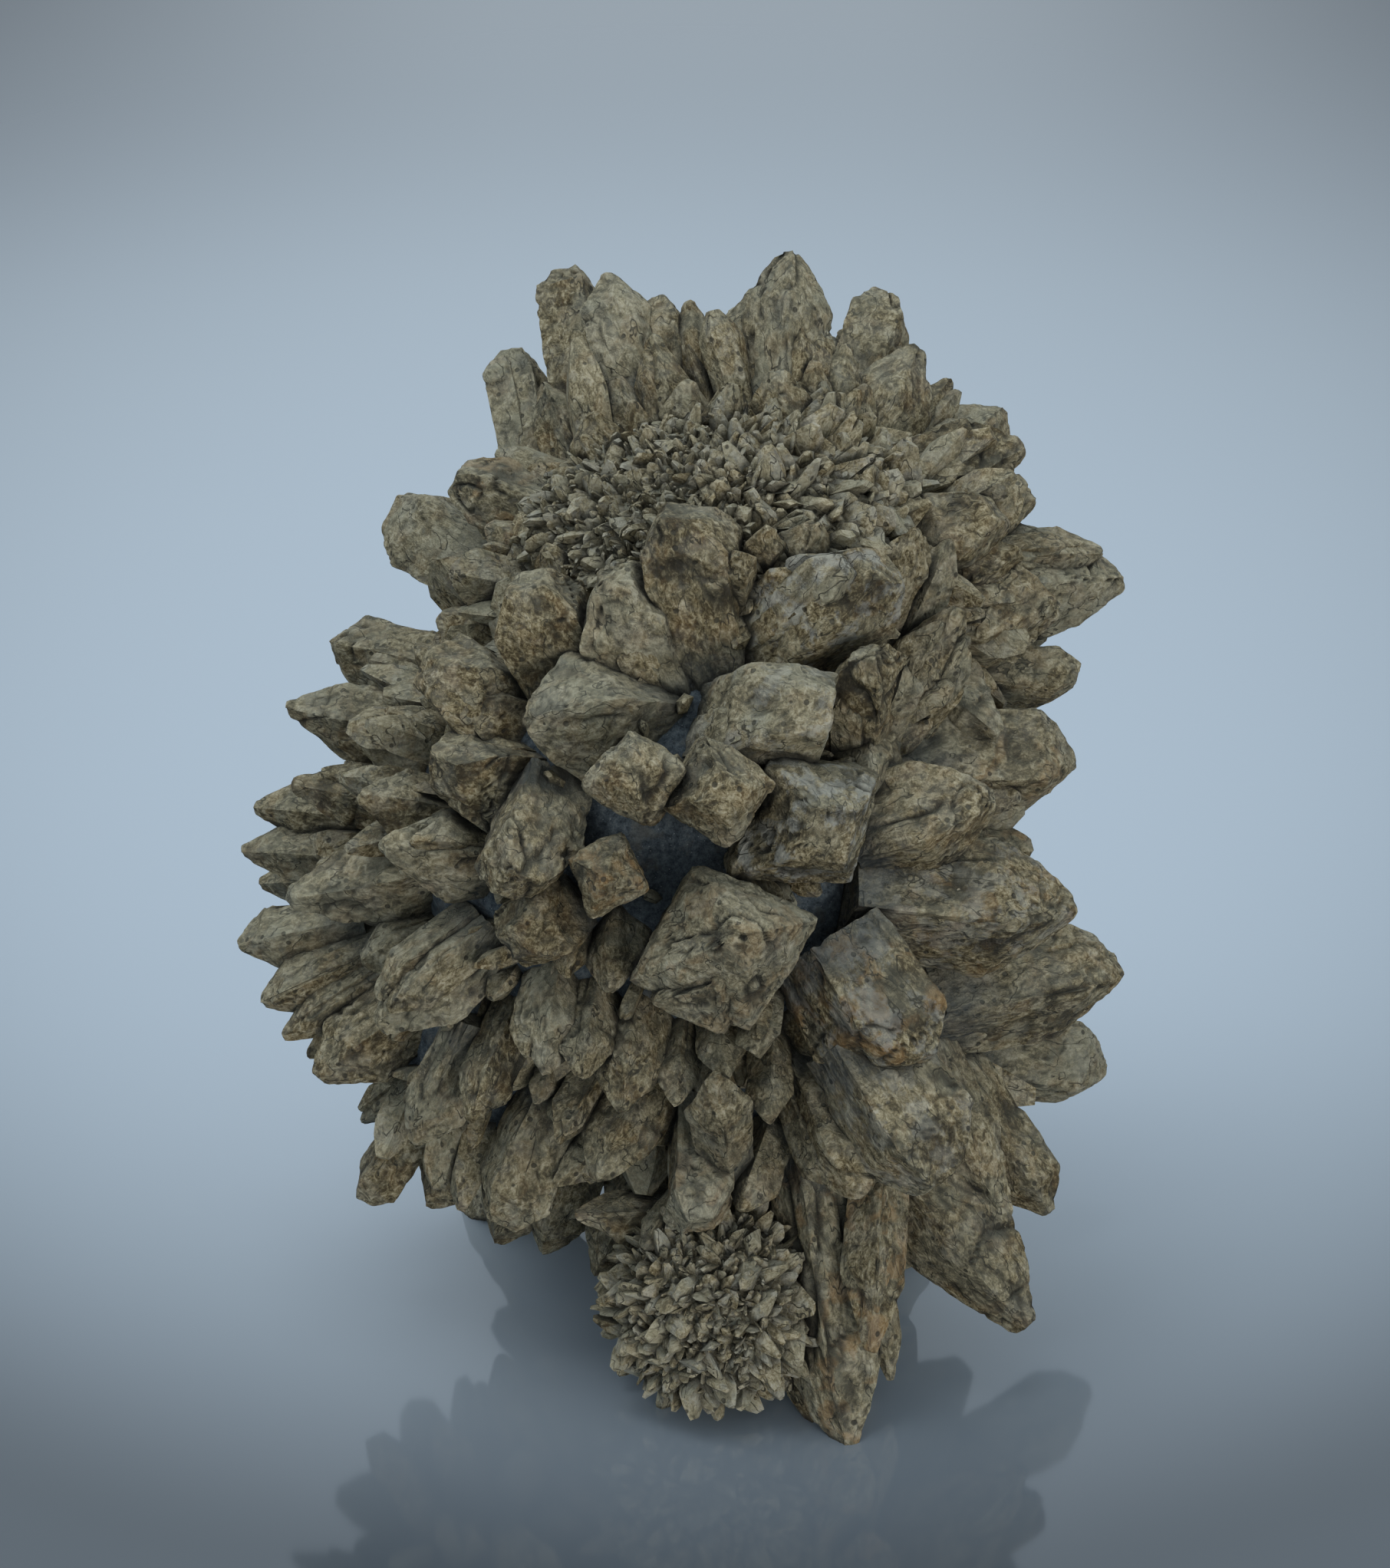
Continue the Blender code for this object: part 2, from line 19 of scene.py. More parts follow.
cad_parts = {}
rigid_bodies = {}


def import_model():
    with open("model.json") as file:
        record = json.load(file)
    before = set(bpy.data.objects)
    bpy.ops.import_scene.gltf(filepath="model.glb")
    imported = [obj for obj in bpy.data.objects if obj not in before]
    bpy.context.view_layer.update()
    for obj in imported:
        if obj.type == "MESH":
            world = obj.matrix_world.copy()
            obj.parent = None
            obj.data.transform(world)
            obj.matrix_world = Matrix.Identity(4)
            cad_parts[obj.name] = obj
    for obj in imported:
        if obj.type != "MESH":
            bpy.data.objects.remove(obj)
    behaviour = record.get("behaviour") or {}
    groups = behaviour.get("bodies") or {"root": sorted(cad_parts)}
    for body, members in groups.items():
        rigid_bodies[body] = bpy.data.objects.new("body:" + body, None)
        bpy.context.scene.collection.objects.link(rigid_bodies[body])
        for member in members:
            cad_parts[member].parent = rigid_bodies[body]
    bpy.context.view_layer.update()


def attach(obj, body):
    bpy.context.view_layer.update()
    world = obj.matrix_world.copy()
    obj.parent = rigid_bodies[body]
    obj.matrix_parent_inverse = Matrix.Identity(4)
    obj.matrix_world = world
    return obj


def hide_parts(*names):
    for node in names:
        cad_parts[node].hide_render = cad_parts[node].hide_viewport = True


NODE = "crystal_cluster"

# Driving dimensions, as in the solid.
SPECIMEN_WIDTH = 0.144
MID_HEIGHT = 0.0914
EYE_DISTANCE = 0.55
EYE_ABOVE = math.radians(20)
MM = 0.001

# The picture that the crystals are placed by, in its own pixels.
PICTURE_CENTRE = (906, 1022)
PICTURE_HEIGHT = 0.2555
PIXELS_ACROSS = 1151
PIXEL = SPECIMEN_WIDTH / PIXELS_ACROSS

# The move that puts the middle of the finished specimen over the origin.
CENTRING = Vector((0.00207, 0.00104, 0.0))

TOWARD_EYE = Vector((0, -math.cos(EYE_ABOVE), math.sin(EYE_ABOVE)))
PICTURE_UP = Vector((0, math.sin(EYE_ABOVE), math.cos(EYE_ABOVE)))

# How near a crystal's root is where its row doesn't say, as a share of how near its tip is, and how straight
# it points at the eye, as a cosine, before its turn is measured from the picture's up.
ROOT_SHARE = 0.5
END_ON = 0.9

# A growth centre: its place in the picture, how near it is in mm, its core's radii across, deep and high
# in mm, and how far its crystals reach past that core in mm.
Lobe = namedtuple("Lobe", "x y near radii reach")

LOBES = (
    Lobe(870, 1090, 0, (41, 37, 39), 27),
    Lobe(950, 760, -4, (36, 33, 26), 22),
    Lobe(1040, 1390, -6, (20, 19, 26), 27),
    Lobe(650, 1330, -8, (17, 20, 16), 18),
    Lobe(906, 1368, -40, (21, 19, 17), 20),
    Lobe(930, 1700, 8, (14.5, 14, 15.5), 2),
)
LARGE_LOBES = LOBES[:5]
FOOT_LOBE = LOBES[4]
LOWEST_LOBE = LOBES[5]
JUST_OVER_CORE = 1.1

# A row of the tables below: a crystal's tip in the picture and how near that is in mm, the middle of its
# root in the picture, with how near that is where ROOT_SHARE doesn't fit, its width in pixels, its turn
# about its own axis in degrees, the length of its point as a share of its width, how many thinner blades
# lean on it, or None, how stained with brown and how whitened it is, and its depth as a share of its width.
Crystal = namedtuple(
    "Crystal", "tip root width roll taper ledges stain white depth", defaults=(0, 0.8, None, 0.3, 0.2, 0.85)
)

TOP_RIM = (
    ((1034, 328, -12), (1018, 560), 130, 0, 0.62, 1),
    ((984, 374, -16), (985, 560), 92, 20, 0.6),
    ((1068, 420, -10), (1040, 560), 84, 0, 0.8),
    ((744, 357, -32), (775, 600), 98, 20, 0.35),
    ((798, 359, -20), (850, 560), 104, 20, 0.5),
    ((858, 394, -21), (885, 560), 88, 30, 0.4),
    ((902, 393, -18), (908, 560), 72),
    ((958, 402, -34), (955, 560), 100),
    ((1160, 390, -34), (1095, 560), 92, 30, 0.4),
    ((672, 463, -34), (710, 680), 84, 30, 0.4),
    ((1203, 453, -10), (1110, 620), 112, 0, 0.7),
    ((1236, 492, -14), (1140, 630), 80),
    ((1308, 532, -30), (1170, 650), 92, 0, 0.5),
    ((1333, 580, 0), (1110, 660), 118, 20, 0.5),
    ((1346, 645, -8), (1180, 700), 110, 20, 0.5),
    ((1463, 758, -15), (1230, 770), 170, 0, 0.8),
    ((1435, 722, -12), (1280, 730), 80),
    ((1298, 665, 15), (1170, 730), 125, 35, 0.4),
    ((1378, 800, 6), (1190, 790), 150, 30, 0.5),
    ((1402, 885, -8), (1220, 870), 84, 20, 0.4),
    ((1370, 950, -25), (1230, 900), 80),
    ((1330, 720, 12), (1200, 760), 100, 30, 0.5),
)

DRUSE_RIM = (
    ((955, 500, 6), (925, 640, -4), 66),
    ((1014, 482, 6), (1035, 650, -4), 124, 0, 0.6, 3),
    ((1070, 520, 5), (1075, 650, -4), 76),
    ((826, 524, 4), (842, 620, -4), 56),
    ((770, 536, 4), (810, 660, -4), 90, 0, 0.5),
    ((1098, 512, 2), (1090, 620, -4), 52),
    ((712, 500, -22), (780, 640), 90, 0, 0.6),
    ((1212, 657, 20), (1080, 720), 48),
    ((1150, 612, 14), (1070, 680), 44),
    ((1148, 640, 18), (1060, 700), 44),
    ((850, 440, -8), (880, 580), 82),
    ((1105, 450, -8), (1075, 590), 72),
    ((895, 496, 2), (900, 620, -6), 74, 10, 0.6),
    ((800, 492, -6), (830, 620, -6), 86, 10, 0.5),
    ((1128, 500, 0), (1090, 640, -4), 64, 20, 0.6),
    ((1062, 470, -2), (1060, 640, -6), 72, 0, 0.8),
)

UPPER_FRONT = (
    ((688, 752, 34), (760, 900, 24), 148, 30, 0.28),
    ((798, 752, 38), (860, 900, 26), 140, 30, 0.35),
    ((895, 662, 38), (930, 880, 26), 142, 38, 0.26, 1),
    ((1150, 738, 40), (960, 880), 170, 25, 0.4, 2, 0.3, 0.9),
    ((1060, 680, 34), (1000, 800), 92, 20, 0.5),
    ((1003, 690, 38), (985, 790), 58, 20, 0.6),
    ((962, 722, 42), (965, 820), 56, 20, 0.5),
    ((1198, 690, 30), (1125, 860), 72, 0, 0.8),
    ((1240, 700, 25), (1165, 860), 72, 0, 0.8),
    ((1252, 793, 24), (1140, 980), 118, 0, 0.8),
    ((1128, 848, 44), (1120, 1010), 124, 20, 0.4),
    ((1182, 866, 38), (1120, 1010), 80, 0, 0.5),
    ((1300, 962, 14), (1180, 860), 94, 0, 0.55),
    ((1130, 1040, 40), (1130, 930), 108, 0, 0.9),
)

MIDDLE_FRONT = (
    ((682, 938, 46), (845, 945, 28), 190, 20, 0.5, 1),
    ((828, 1012, 66), (848, 1023), 138, 8, 0.3, 0, 0.3, 0.2, 0.95),
    ((944, 1040, 64), (915, 1030), 160, 12, 0.4, 0, 0.3, 0.2, 0.95),
    ((1052, 925, 54), (940, 950), 160, 35, 0.4, 1, 0.3, 0.6),
    ((1078, 1086, 56), (1025, 1050), 208, 35, 0.38, 0, 0.1, 1.0),
    ((1295, 1040, 34), (1110, 1095, 30), 178, 20, 0.5, 0),
    ((1398, 994, 0), (1150, 1000, 14), 146, 20, 0.45, None, 0.6),
    ((1395, 1192, 20), (1100, 1165, 28), 208, 15, 0.5, 1, 0.5, 0.5),
    ((1345, 1110, 4), (1180, 1130), 134, 0, 0.5, None, 0.8),
    ((1456, 1264, -4), (1200, 1310, 10), 160, 10, 0.55, 1),
    ((1438, 1388, -38), (1220, 1372), 128, 30, 0.45),
    ((958, 1236, 64), (925, 1240), 262, 18, 0.43, 1, 0.5, 0.2, 0.86),
    ((790, 1136, 60), (792, 1142), 118, -21, 0.45, 0, 1.0, 0.2, 1.05),
    ((676, 1160, 52), (712, 1030, 34), 154, 25, 0.35, 0),
    ((668, 1236, 46), (730, 1180, 34), 120, 30, 0.35, 0),
    ((576, 1012, 40), (690, 1018, 26), 138, 30, 0.4),
    ((502, 1110, 36), (640, 1112, 26), 136, 0, 0.7),
    ((560, 880, 34), (680, 922, 22), 130, 35, 0.35),
    ((585, 952, 28), (690, 965, 20), 104, 20, 0.5),
)

LEFT_RIM = (
    ((522, 668, -36), (660, 760), 140, 30, 0.4),
    ((594, 622, -8), (760, 700), 112, 20, 0.4, None, 0.8),
    ((572, 735, -10), (720, 800), 105, 20, 0.5),
    ((640, 680, 6), (760, 780), 95, 20, 0.5, None, 0.7),
    ((572, 800, 2), (720, 870, 6), 112, 20, 0.5),
    ((432, 838, -28), (720, 900, -8), 96, 0, 0.45),
    ((374, 925, -5), (610, 970), 112, 0, 0.7),
    ((331, 1050, -14), (600, 1085, -4), 80),
    ((380, 1020, 0), (620, 1075, 0), 90),
    ((313, 1108, -14), (600, 1125, -4), 80),
    ((336, 1150, -26), (600, 1150, -10), 74),
    ((377, 1165, 14), (620, 1140), 150, 0, 0.9),
    ((468, 1040, 26), (640, 1080), 105, 20, 0.6),
    ((313, 1238, -3), (480, 1200), 98, 10, 0.5),
    ((341, 1306, 0), (500, 1230), 84, 0, 0.6),
    ((371, 1352, 2), (510, 1260), 66),
    ((402, 1378, -6), (520, 1290), 56),
    ((418, 1409, 6), (590, 1280), 118, 10, 0.5),
    ((490, 1335, 26), (640, 1215, 22), 128, 20, 0.6),
    ((470, 1250, 14), (620, 1200), 96, 10, 0.5),
)

LOWER_LEFT = (
    ((477, 1558, -12), (600, 1380, 0), 76, 30, 0.4),
    ((472, 1462, -18), (590, 1370), 60),
    ((560, 1568, -14), (640, 1400, 0), 80, 20, 0.5),
    ((540, 1490, 12), (620, 1330, 16), 92, 10, 0.6),
    ((612, 1462, 26), (700, 1260, 12), 92, 10, 0.6),
    ((645, 1588, 8), (735, 1390, 12), 112, 25, 0.4),
    ((700, 1440, 22), (730, 1360), 40),
    ((725, 1490, 26), (790, 1380), 66),
    ((705, 1394, 38), (740, 1220), 112, 0, 0.6),
    ((756, 1404, 40), (790, 1230), 88, 0, 0.6),
    ((806, 1444, 38), (840, 1250), 116, 0, 0.6),
    ((776, 1534, 26), (880, 1370), 98, 10, 0.6),
    ((722, 1542, 16), (810, 1470), 60),
    ((748, 1582, 12), (860, 1580), 76, 10, 0.8),
    ((838, 1630, 18), (900, 1550), 58, 20, 0.6),
    ((914, 1598, 28), (915, 1440), 96, 40, 0.3, 1, 0.7),
    ((932, 1400, 42), (950, 1520), 92, 0, 0.8),
    ((968, 1580, 26), (1010, 1460), 70, 20, 0.5),
    ((880, 1438, 38), (895, 1300), 66),
    ((796, 1290, 40), (812, 1190, 32), 92, 20, 0.5),
    ((733, 1274, 38), (752, 1190, 32), 72, 0, 0.5),
    ((946, 1404, 40), (930, 1290), 66),
    ((986, 1372, 44), (1005, 1250), 58, 20, 0.5),
    ((1004, 1462, 36), (1005, 1330), 66),
    ((706, 1632, -22), (780, 1450, -6), 90, 10, 0.6),
    ((645, 1620, -22), (720, 1440, -6), 80, 10, 0.6),
    ((778, 1662, -8), (880, 1470, -4), 80, 10, 0.6),
    ((560, 1440, 2), (640, 1330, 6), 84, 20, 0.5),
)

LOWER_FAN = (
    ((1180, 1390, 38), (1075, 1230, 34), 190, 15, 0.3, 1, 0.9, 0.7),
    ((1226, 1540, 34), (1110, 1350, 32), 176, 20, 0.35, 0, 0.3, 0.5),
    ((1316, 1600, 9), (1170, 1320, 9), 124, 0, 1.1, 0),
    ((1368, 1582, 2), (1210, 1340), 98, 0, 0.5),
    ((1338, 1734, 10), (1140, 1460), 166, 8, 1.0, 0),
    ((1105, 1888, 17), (1040, 1420), 134, 15, 0.8, 1, 0.9),
    ((1130, 1762, 24), (1150, 1470), 88, 0, 1.1, None, 0.9),
    ((1163, 1800, 8), (1120, 1540, 8), 50, 0, 1.2),
    ((1126, 1558, 32), (1040, 1370), 112, 20, 0.5),
    ((1062, 1860, 12), (1030, 1640), 62, 20, 0.7),
)

# Crystals that the specimen stands on, behind and below: tips on the surface under it, in mm.
Foot = namedtuple("Foot", "x y width")

FEET = (Foot(-42, 28, 21), Foot(42, 10, 22), Foot(4, 50, 24))
FOOT_POINT_DEPTH = 3.0 * MM
FOOT_DEPTH = 0.85
FOOT_TAPER = 0.7
FOOT_LOOKS = (0.3, 0.2)

# The hollows of the outline in the picture, which the crystals at the back stay inside.
OUTLINE = (
    (640, 600), (640, 480), (700, 480), (740, 380), (880, 400), (960, 402), (1040, 350), (1085, 405),
    (1165, 400), (1230, 500), (1310, 550), (1345, 660), (1440, 740), (1400, 820), (1360, 950),
    (1345, 1085), (1400, 1190), (1410, 1330), (1345, 1480), (1320, 1600), (1180, 1680), (1105, 1860),
    (930, 1830), (760, 1640), (600, 1590), (490, 1550), (480, 1410), (330, 1260), (350, 1100),
    (420, 1000), (450, 900), (545, 795), (530, 660),
)

# Crystals that fill the back and the underside. Their half depth is a share of their width, and their looks
# are how stained and how whitened they are.
BACK_SEED = 11
BACK_SPACING = 36 * MM
BACK_JITTER = 0.12
BACK_REACH = (0.86, 1.02)
BACK_WIDTH = (24 * MM, 34 * MM)
BACK_HALF_DEPTH = 0.44
BACK_TAPER = (0.45, 0.95)
BACK_LOOKS = (0.35, 0.25)
BACK_LEDGES = 2
BACK_SIDE = Vector((0.3, 0, 0))
BACK_ROOT = 0.3
BACK_TURNED_AWAY = -0.1
BACK_SHORTENINGS = 5
BACK_SHORTER = 0.88
BACK_ABOVE_FLOOR = 5 * MM
GOLDEN_ANGLE = math.pi * (3 - math.sqrt(5))

# A crystal from this width on has two slopes in its point, and one whose point is a smaller share of its
# width than this is blunt.
TWO_SLOPES_FROM_WIDTH = 16.5 * MM
BLUNT_TO_TAPER = 0.42

# The shapes of a point, each as (share of the point, share of the width).
TWO_SLOPES = ((0.5, 0.68), (1.0, 0.2))
ONE_SLOPE = ((1.0, 0.2),)
BLUNT = ((0.2, 0.88), (1.0, 0.46))
BROKEN = ((0.4, 0.8), (1.0, 0.3))
ROOT_WIDTH = 0.85

# Patches of small crystals: the lobe that they grow on, the middle and the spread of the patch in the
# picture, their number, their shortest and longest length in mm, and how much larger they are at its
# right edge than in its middle, as a share.
Druse = namedtuple("Druse", "lobe x y half_width half_height count lengths coarser")

UPPER_DRUSE = Druse(1, 905, 650, 262, 134, 2350, (1.2, 3.0), 1.3)
LOWER_DRUSE = Druse(5, 932, 1712, 122, 130, 950, (1.3, 3.2), 0.4)
DRUSES = (UPPER_DRUSE, LOWER_DRUSE)
DRUSE_SEED = 3
DRUSE_JITTER = 6
DRUSE_SIZES = (0.8, 0.9, 1.0, 1.0, 1.1, 1.6)
DRUSE_EDGE_LARGER = 0.3

# A kind of small crystal: how far it leans, half its width as a share of its length, its depth and the
# length of its point as shares of its width, how deep it is rooted in mm, and how stained and whitened it is.
Small = namedtuple("Small", "lean slim depth taper rooted stain white")

DRUSE_CRYSTAL = Small(0.7, (0.30, 0.55), (0.25, 0.8), (0.4, 1.0), 2.2, 0.1, 0.6)
GAP_CRYSTAL = Small(0.45, (0.22, 0.36), (0.5, 0.95), (0.4, 0.9), 3.0, 0.3, 0.3)

# The small crystals in the gaps: how far apart and how long they are in mm, and how many times longer they
# are where a core turns away from the eye and on the lowest core. A core begins to turn away at the second
# cosine to the eye and is turned away at the first.
GAP_SEED = 8
GAP_JITTER = 0.06
GAP_SPACING = 6.4
GAP_SPACING_LOWEST = 3.6
GAP_LENGTHS = (4.0, 10.0)
GAP_LONGER_AWAY = 2.1
GAP_LONGER_LOWEST = 0.6
GAP_AWAY = (0.2, 0.6)

# The places in the picture where the matrix is bare, each with its radius in pixels.
BARE = (
    (925, 868, 40), (662, 955, 42), (880, 1095, 62), (775, 1085, 58), (770, 1205, 34), (1108, 1190, 62),
    (560, 1215, 60), (845, 1490, 40), (590, 1290, 40),
)

# The distance between a crystal's points in mm: where the picture looks, and at the back.
FRONT_STEP = 0.66
BACK_STEP = 1.3

Blade = namedtuple("Blade", "root tip side half_width half_depth taper rings stain white")


def spot(x, y, near):
    """The point seen at a pixel of the picture, that many metres nearer than the middle."""
    scale = PIXEL * (1 - near / EYE_DISTANCE)
    right = Vector(((x - PICTURE_CENTRE[0]) * scale, 0, 0))
    up = PICTURE_UP * (PICTURE_CENTRE[1] - y) * scale
    return Vector((0, 0, MID_HEIGHT)) + right + up + TOWARD_EYE * near


def pixel_of(point):
    """Where a point, or each row of an array of them, shows in the picture."""
    offset = np.asarray(point) - (0, 0, MID_HEIGHT)
    scale = PIXEL * (1 - offset @ np.array(TOWARD_EYE) / EYE_DISTANCE)
    x = PICTURE_CENTRE[0] + offset[..., 0] / scale
    return x, PICTURE_CENTRE[1] - offset @ np.array(PICTURE_UP) / scale


def in_outline(x, y):
    """Whether a pixel is inside the hollows of the outline."""
    inside = False
    for (x1, y1), (x2, y2) in zip(OUTLINE, OUTLINE[1:] + OUTLINE[:1]):
        if (y1 > y) != (y2 > y) and x < x1 + (x2 - x1) * (y - y1) / (y2 - y1):
            inside = not inside
    return inside


def lobe_centre(lobe):
    return spot(lobe.x, lobe.y, lobe.near * MM)


def in_radii(lobe, vector):
    """A vector measured in the radii of a lobe's core."""
    return Vector(vector[i] / (lobe.radii[i] * MM) for i in range(3))


def shaken(rng, most, count=3):
    """Random numbers, each from -most to most."""
    return [rng.uniform(-most, most) for _ in range(count)]


def across(axis, toward, roll=0.0):
    """A unit vector square to an axis and to a direction, turned about the axis by roll radians."""
    side = axis.cross(toward).normalized()
    return Matrix.Rotation(roll, 3, axis) @ side


def rings_for(width, taper):
    """The shape of the point of a crystal of that width and length of point."""
    if taper < BLUNT_TO_TAPER:
        return BLUNT
    return TWO_SLOPES if width >= TWO_SLOPES_FROM_WIDTH else ONE_SLOPE


def blade_of(crystal):
    """The blade that a row of the tables describes."""
    x, y, near = crystal.tip
    tip = spot(x, y, near * MM)
    root_x, root_y, *root_near = crystal.root
    root = spot(root_x, root_y, (root_near[0] if root_near else near * ROOT_SHARE) * MM)
    axis = (tip - root).normalized()
    roll = math.radians(crystal.roll)
    shown = max(abs(math.cos(roll)), crystal.depth * abs(math.sin(roll)))
    half_width = crystal.width * PIXEL * (1 - near * MM / EYE_DISTANCE) / 2 / shown
    end_on = axis.dot(TOWARD_EYE) > END_ON
    side = across(axis, PICTURE_UP if end_on else TOWARD_EYE, roll)
    rings = rings_for(half_width * 2, crystal.taper)
    looks = crystal.stain, crystal.white
    return Blade(root, tip, side, half_width, half_width * crystal.depth, crystal.taper, rings, *looks)


def foot_blade(foot):
    """A crystal whose point is cut level by the surface that the specimen stands on."""
    tip = Vector((foot.x * MM, foot.y * MM, -FOOT_POINT_DEPTH))
    root = lobe_centre(FOOT_LOBE)
    side = across((tip - root).normalized(), TOWARD_EYE)
    half_width = foot.width * MM / 2
    return Blade(root, tip, side, half_width, half_width * FOOT_DEPTH, FOOT_TAPER, TWO_SLOPES, *FOOT_LOOKS)


def any_core_holds(point):
    """Whether a point lies inside the core of a lobe, or just over it."""
    return any(in_radii(lobe, point - lobe_centre(lobe)).length < JUST_OVER_CORE for lobe in LOBES)


def spread_directions(radii, spacing):
    """Directions spread evenly, by that spacing on a ball of about those radii, on a golden spiral."""
    count = round(4 * math.pi * (sum(radii) / 3) ** 2 / spacing ** 2)
    for i in range(count):
        height = 1 - (2 * i + 1) / count
        ring = math.sqrt(1 - height * height)
        turn = GOLDEN_ANGLE * i
        yield Vector((ring * math.cos(turn), ring * math.sin(turn), height))


def back_blades():
    """Crystals on every side that the picture doesn't show, inside its outline and above the surface."""
    rng = random.Random(BACK_SEED)
    blades = []
    for lobe in LARGE_LOBES:
        centre = lobe_centre(lobe)
        reach = [(radius + lobe.reach) * MM for radius in lobe.radii]
        for direction in spread_directions(reach, BACK_SPACING):
            direction = (direction + Vector(shaken(rng, BACK_JITTER))).normalized()
            stretch = rng.uniform(*BACK_REACH)
            width = rng.uniform(*BACK_WIDTH)
            taper = rng.uniform(*BACK_TAPER)
            roll = rng.uniform(0, math.pi / 2)
            if direction.dot(TOWARD_EYE) > BACK_TURNED_AWAY:
                continue
            tip = centre + Vector(direction[i] * reach[i] for i in range(3)) * stretch
            root = centre.lerp(tip, BACK_ROOT)
            for _ in range(BACK_SHORTENINGS):
                if in_outline(*pixel_of(tip)) and tip.z > BACK_ABOVE_FLOOR:
                    break
                tip = centre.lerp(tip, BACK_SHORTER)
            if any_core_holds(tip):
                continue
            side = across((tip - root).normalized(), PICTURE_UP + BACK_SIDE, roll)
            half_depth = width * BACK_HALF_DEPTH
            blades.append(Blade(root, tip, side, width / 2, half_depth, taper, ONE_SLOPE, *BACK_LOOKS))
    return blades


def on_core(lobe, x, y):
    """Where the line of sight through a pixel meets the near side of a lobe's core, or None."""
    start = spot(x, y, 0)
    eye = Vector((0, 0, MID_HEIGHT)) + TOWARD_EYE * EYE_DISTANCE
    sight = (eye - start).normalized()
    offset = in_radii(lobe, start - lobe_centre(lobe))
    slope = in_radii(lobe, sight)
    root = offset.dot(slope) ** 2 - slope.dot(slope) * (offset.dot(offset) - 1)
    if root < 0:
        return None
    return start + sight * ((-offset.dot(slope) + math.sqrt(root)) / slope.dot(slope))


def small_blade(kind, foot, axis, length, half_width, depth, taper, roll):
    """A small crystal that stands out of a core at foot."""
    side = across(axis, PICTURE_UP, roll)
    root = foot - axis * kind.rooted * MM
    tip = foot + axis * length
    return Blade(root, tip, side, half_width, half_width * depth, taper, BROKEN, kind.stain, kind.white)


def druse_blades(druse):
    """The small crystals of a patch, standing out of their lobe's core."""
    rng = random.Random(DRUSE_SEED + druse.lobe)
    lobe = LOBES[druse.lobe]
    centre = lobe_centre(lobe)
    blades = []
    for i in range(druse.count):
        radius = math.sqrt((i + 0.5) / druse.count)
        turn = GOLDEN_ANGLE * i
        jitter = shaken(rng, DRUSE_JITTER, 2)
        x = druse.x + druse.half_width * radius * math.cos(turn) + jitter[0]
        y = druse.y + druse.half_height * radius * math.sin(turn) + jitter[1]
        larger = 1 + druse.coarser * max(0, (x - druse.x) / druse.half_width) + DRUSE_EDGE_LARGER * radius
        larger *= rng.choice(DRUSE_SIZES)
        length = rng.uniform(*druse.lengths) * MM * larger
        lean = Vector(shaken(rng, DRUSE_CRYSTAL.lean))
        roll = rng.uniform(0, math.pi)
        half_width = length * rng.uniform(*DRUSE_CRYSTAL.slim)
        depth = rng.uniform(*DRUSE_CRYSTAL.depth)
        taper = rng.uniform(*DRUSE_CRYSTAL.taper)
        foot = on_core(lobe, x, y)
        if foot is None:
            continue
        axis = ((foot - centre).normalized() + lean).normalized()
        blades.append(small_blade(DRUSE_CRYSTAL, foot, axis, length, half_width, depth, taper, roll))
    return blades


def patch_share(druse, x, y):
    """How far out in a patch of small crystals a pixel is, or each of an array of them: 1 at its edge."""
    return np.hypot((x - druse.x) / druse.half_width, (y - druse.y) / druse.half_height)


def is_bare(lobe, x, y):
    """Whether a core has no gap crystals at a pixel: in a bare place, or in its patch of small crystals."""
    if any(math.hypot(x - bare_x, y - bare_y) < radius for bare_x, bare_y, radius in BARE):
        return True
    return any(patch_share(druse, x, y) < 1 for druse in DRUSES if lobe == LOBES[druse.lobe])


def gap_blades():
    """Small crystals all over the cores, but for the bare places."""
    rng = random.Random(GAP_SEED)
    blades = []
    for lobe in LOBES:
        centre = lobe_centre(lobe)
        lowest = lobe == LOWEST_LOBE
        for direction in spread_directions(lobe.radii, GAP_SPACING_LOWEST if lowest else GAP_SPACING):
            direction = (direction + Vector(shaken(rng, GAP_JITTER))).normalized()
            lean = Vector(shaken(rng, GAP_CRYSTAL.lean))
            facing = direction.dot(TOWARD_EYE)
            toward = min(1, max(0, (facing - GAP_AWAY[0]) / (GAP_AWAY[1] - GAP_AWAY[0])))
            longer = GAP_LONGER_LOWEST if lowest else GAP_LONGER_AWAY + (1 - GAP_LONGER_AWAY) * toward
            length = rng.uniform(*GAP_LENGTHS) * MM * longer
            half_width = length * rng.uniform(*GAP_CRYSTAL.slim)
            depth = rng.uniform(*GAP_CRYSTAL.depth)
            taper = rng.uniform(*GAP_CRYSTAL.taper)
            roll = rng.uniform(0, math.pi)
            foot = centre + Vector(direction[i] * lobe.radii[i] * MM for i in range(3))
            if facing > 0 and is_bare(lobe, *pixel_of(foot)):
                continue
            axis = (direction + lean).normalized()
            blade = small_blade(GAP_CRYSTAL, foot, axis, length, half_width, depth, taper, roll)
            if lowest or in_outline(*pixel_of(blade.tip)):
                blades.append(blade)
    return blades


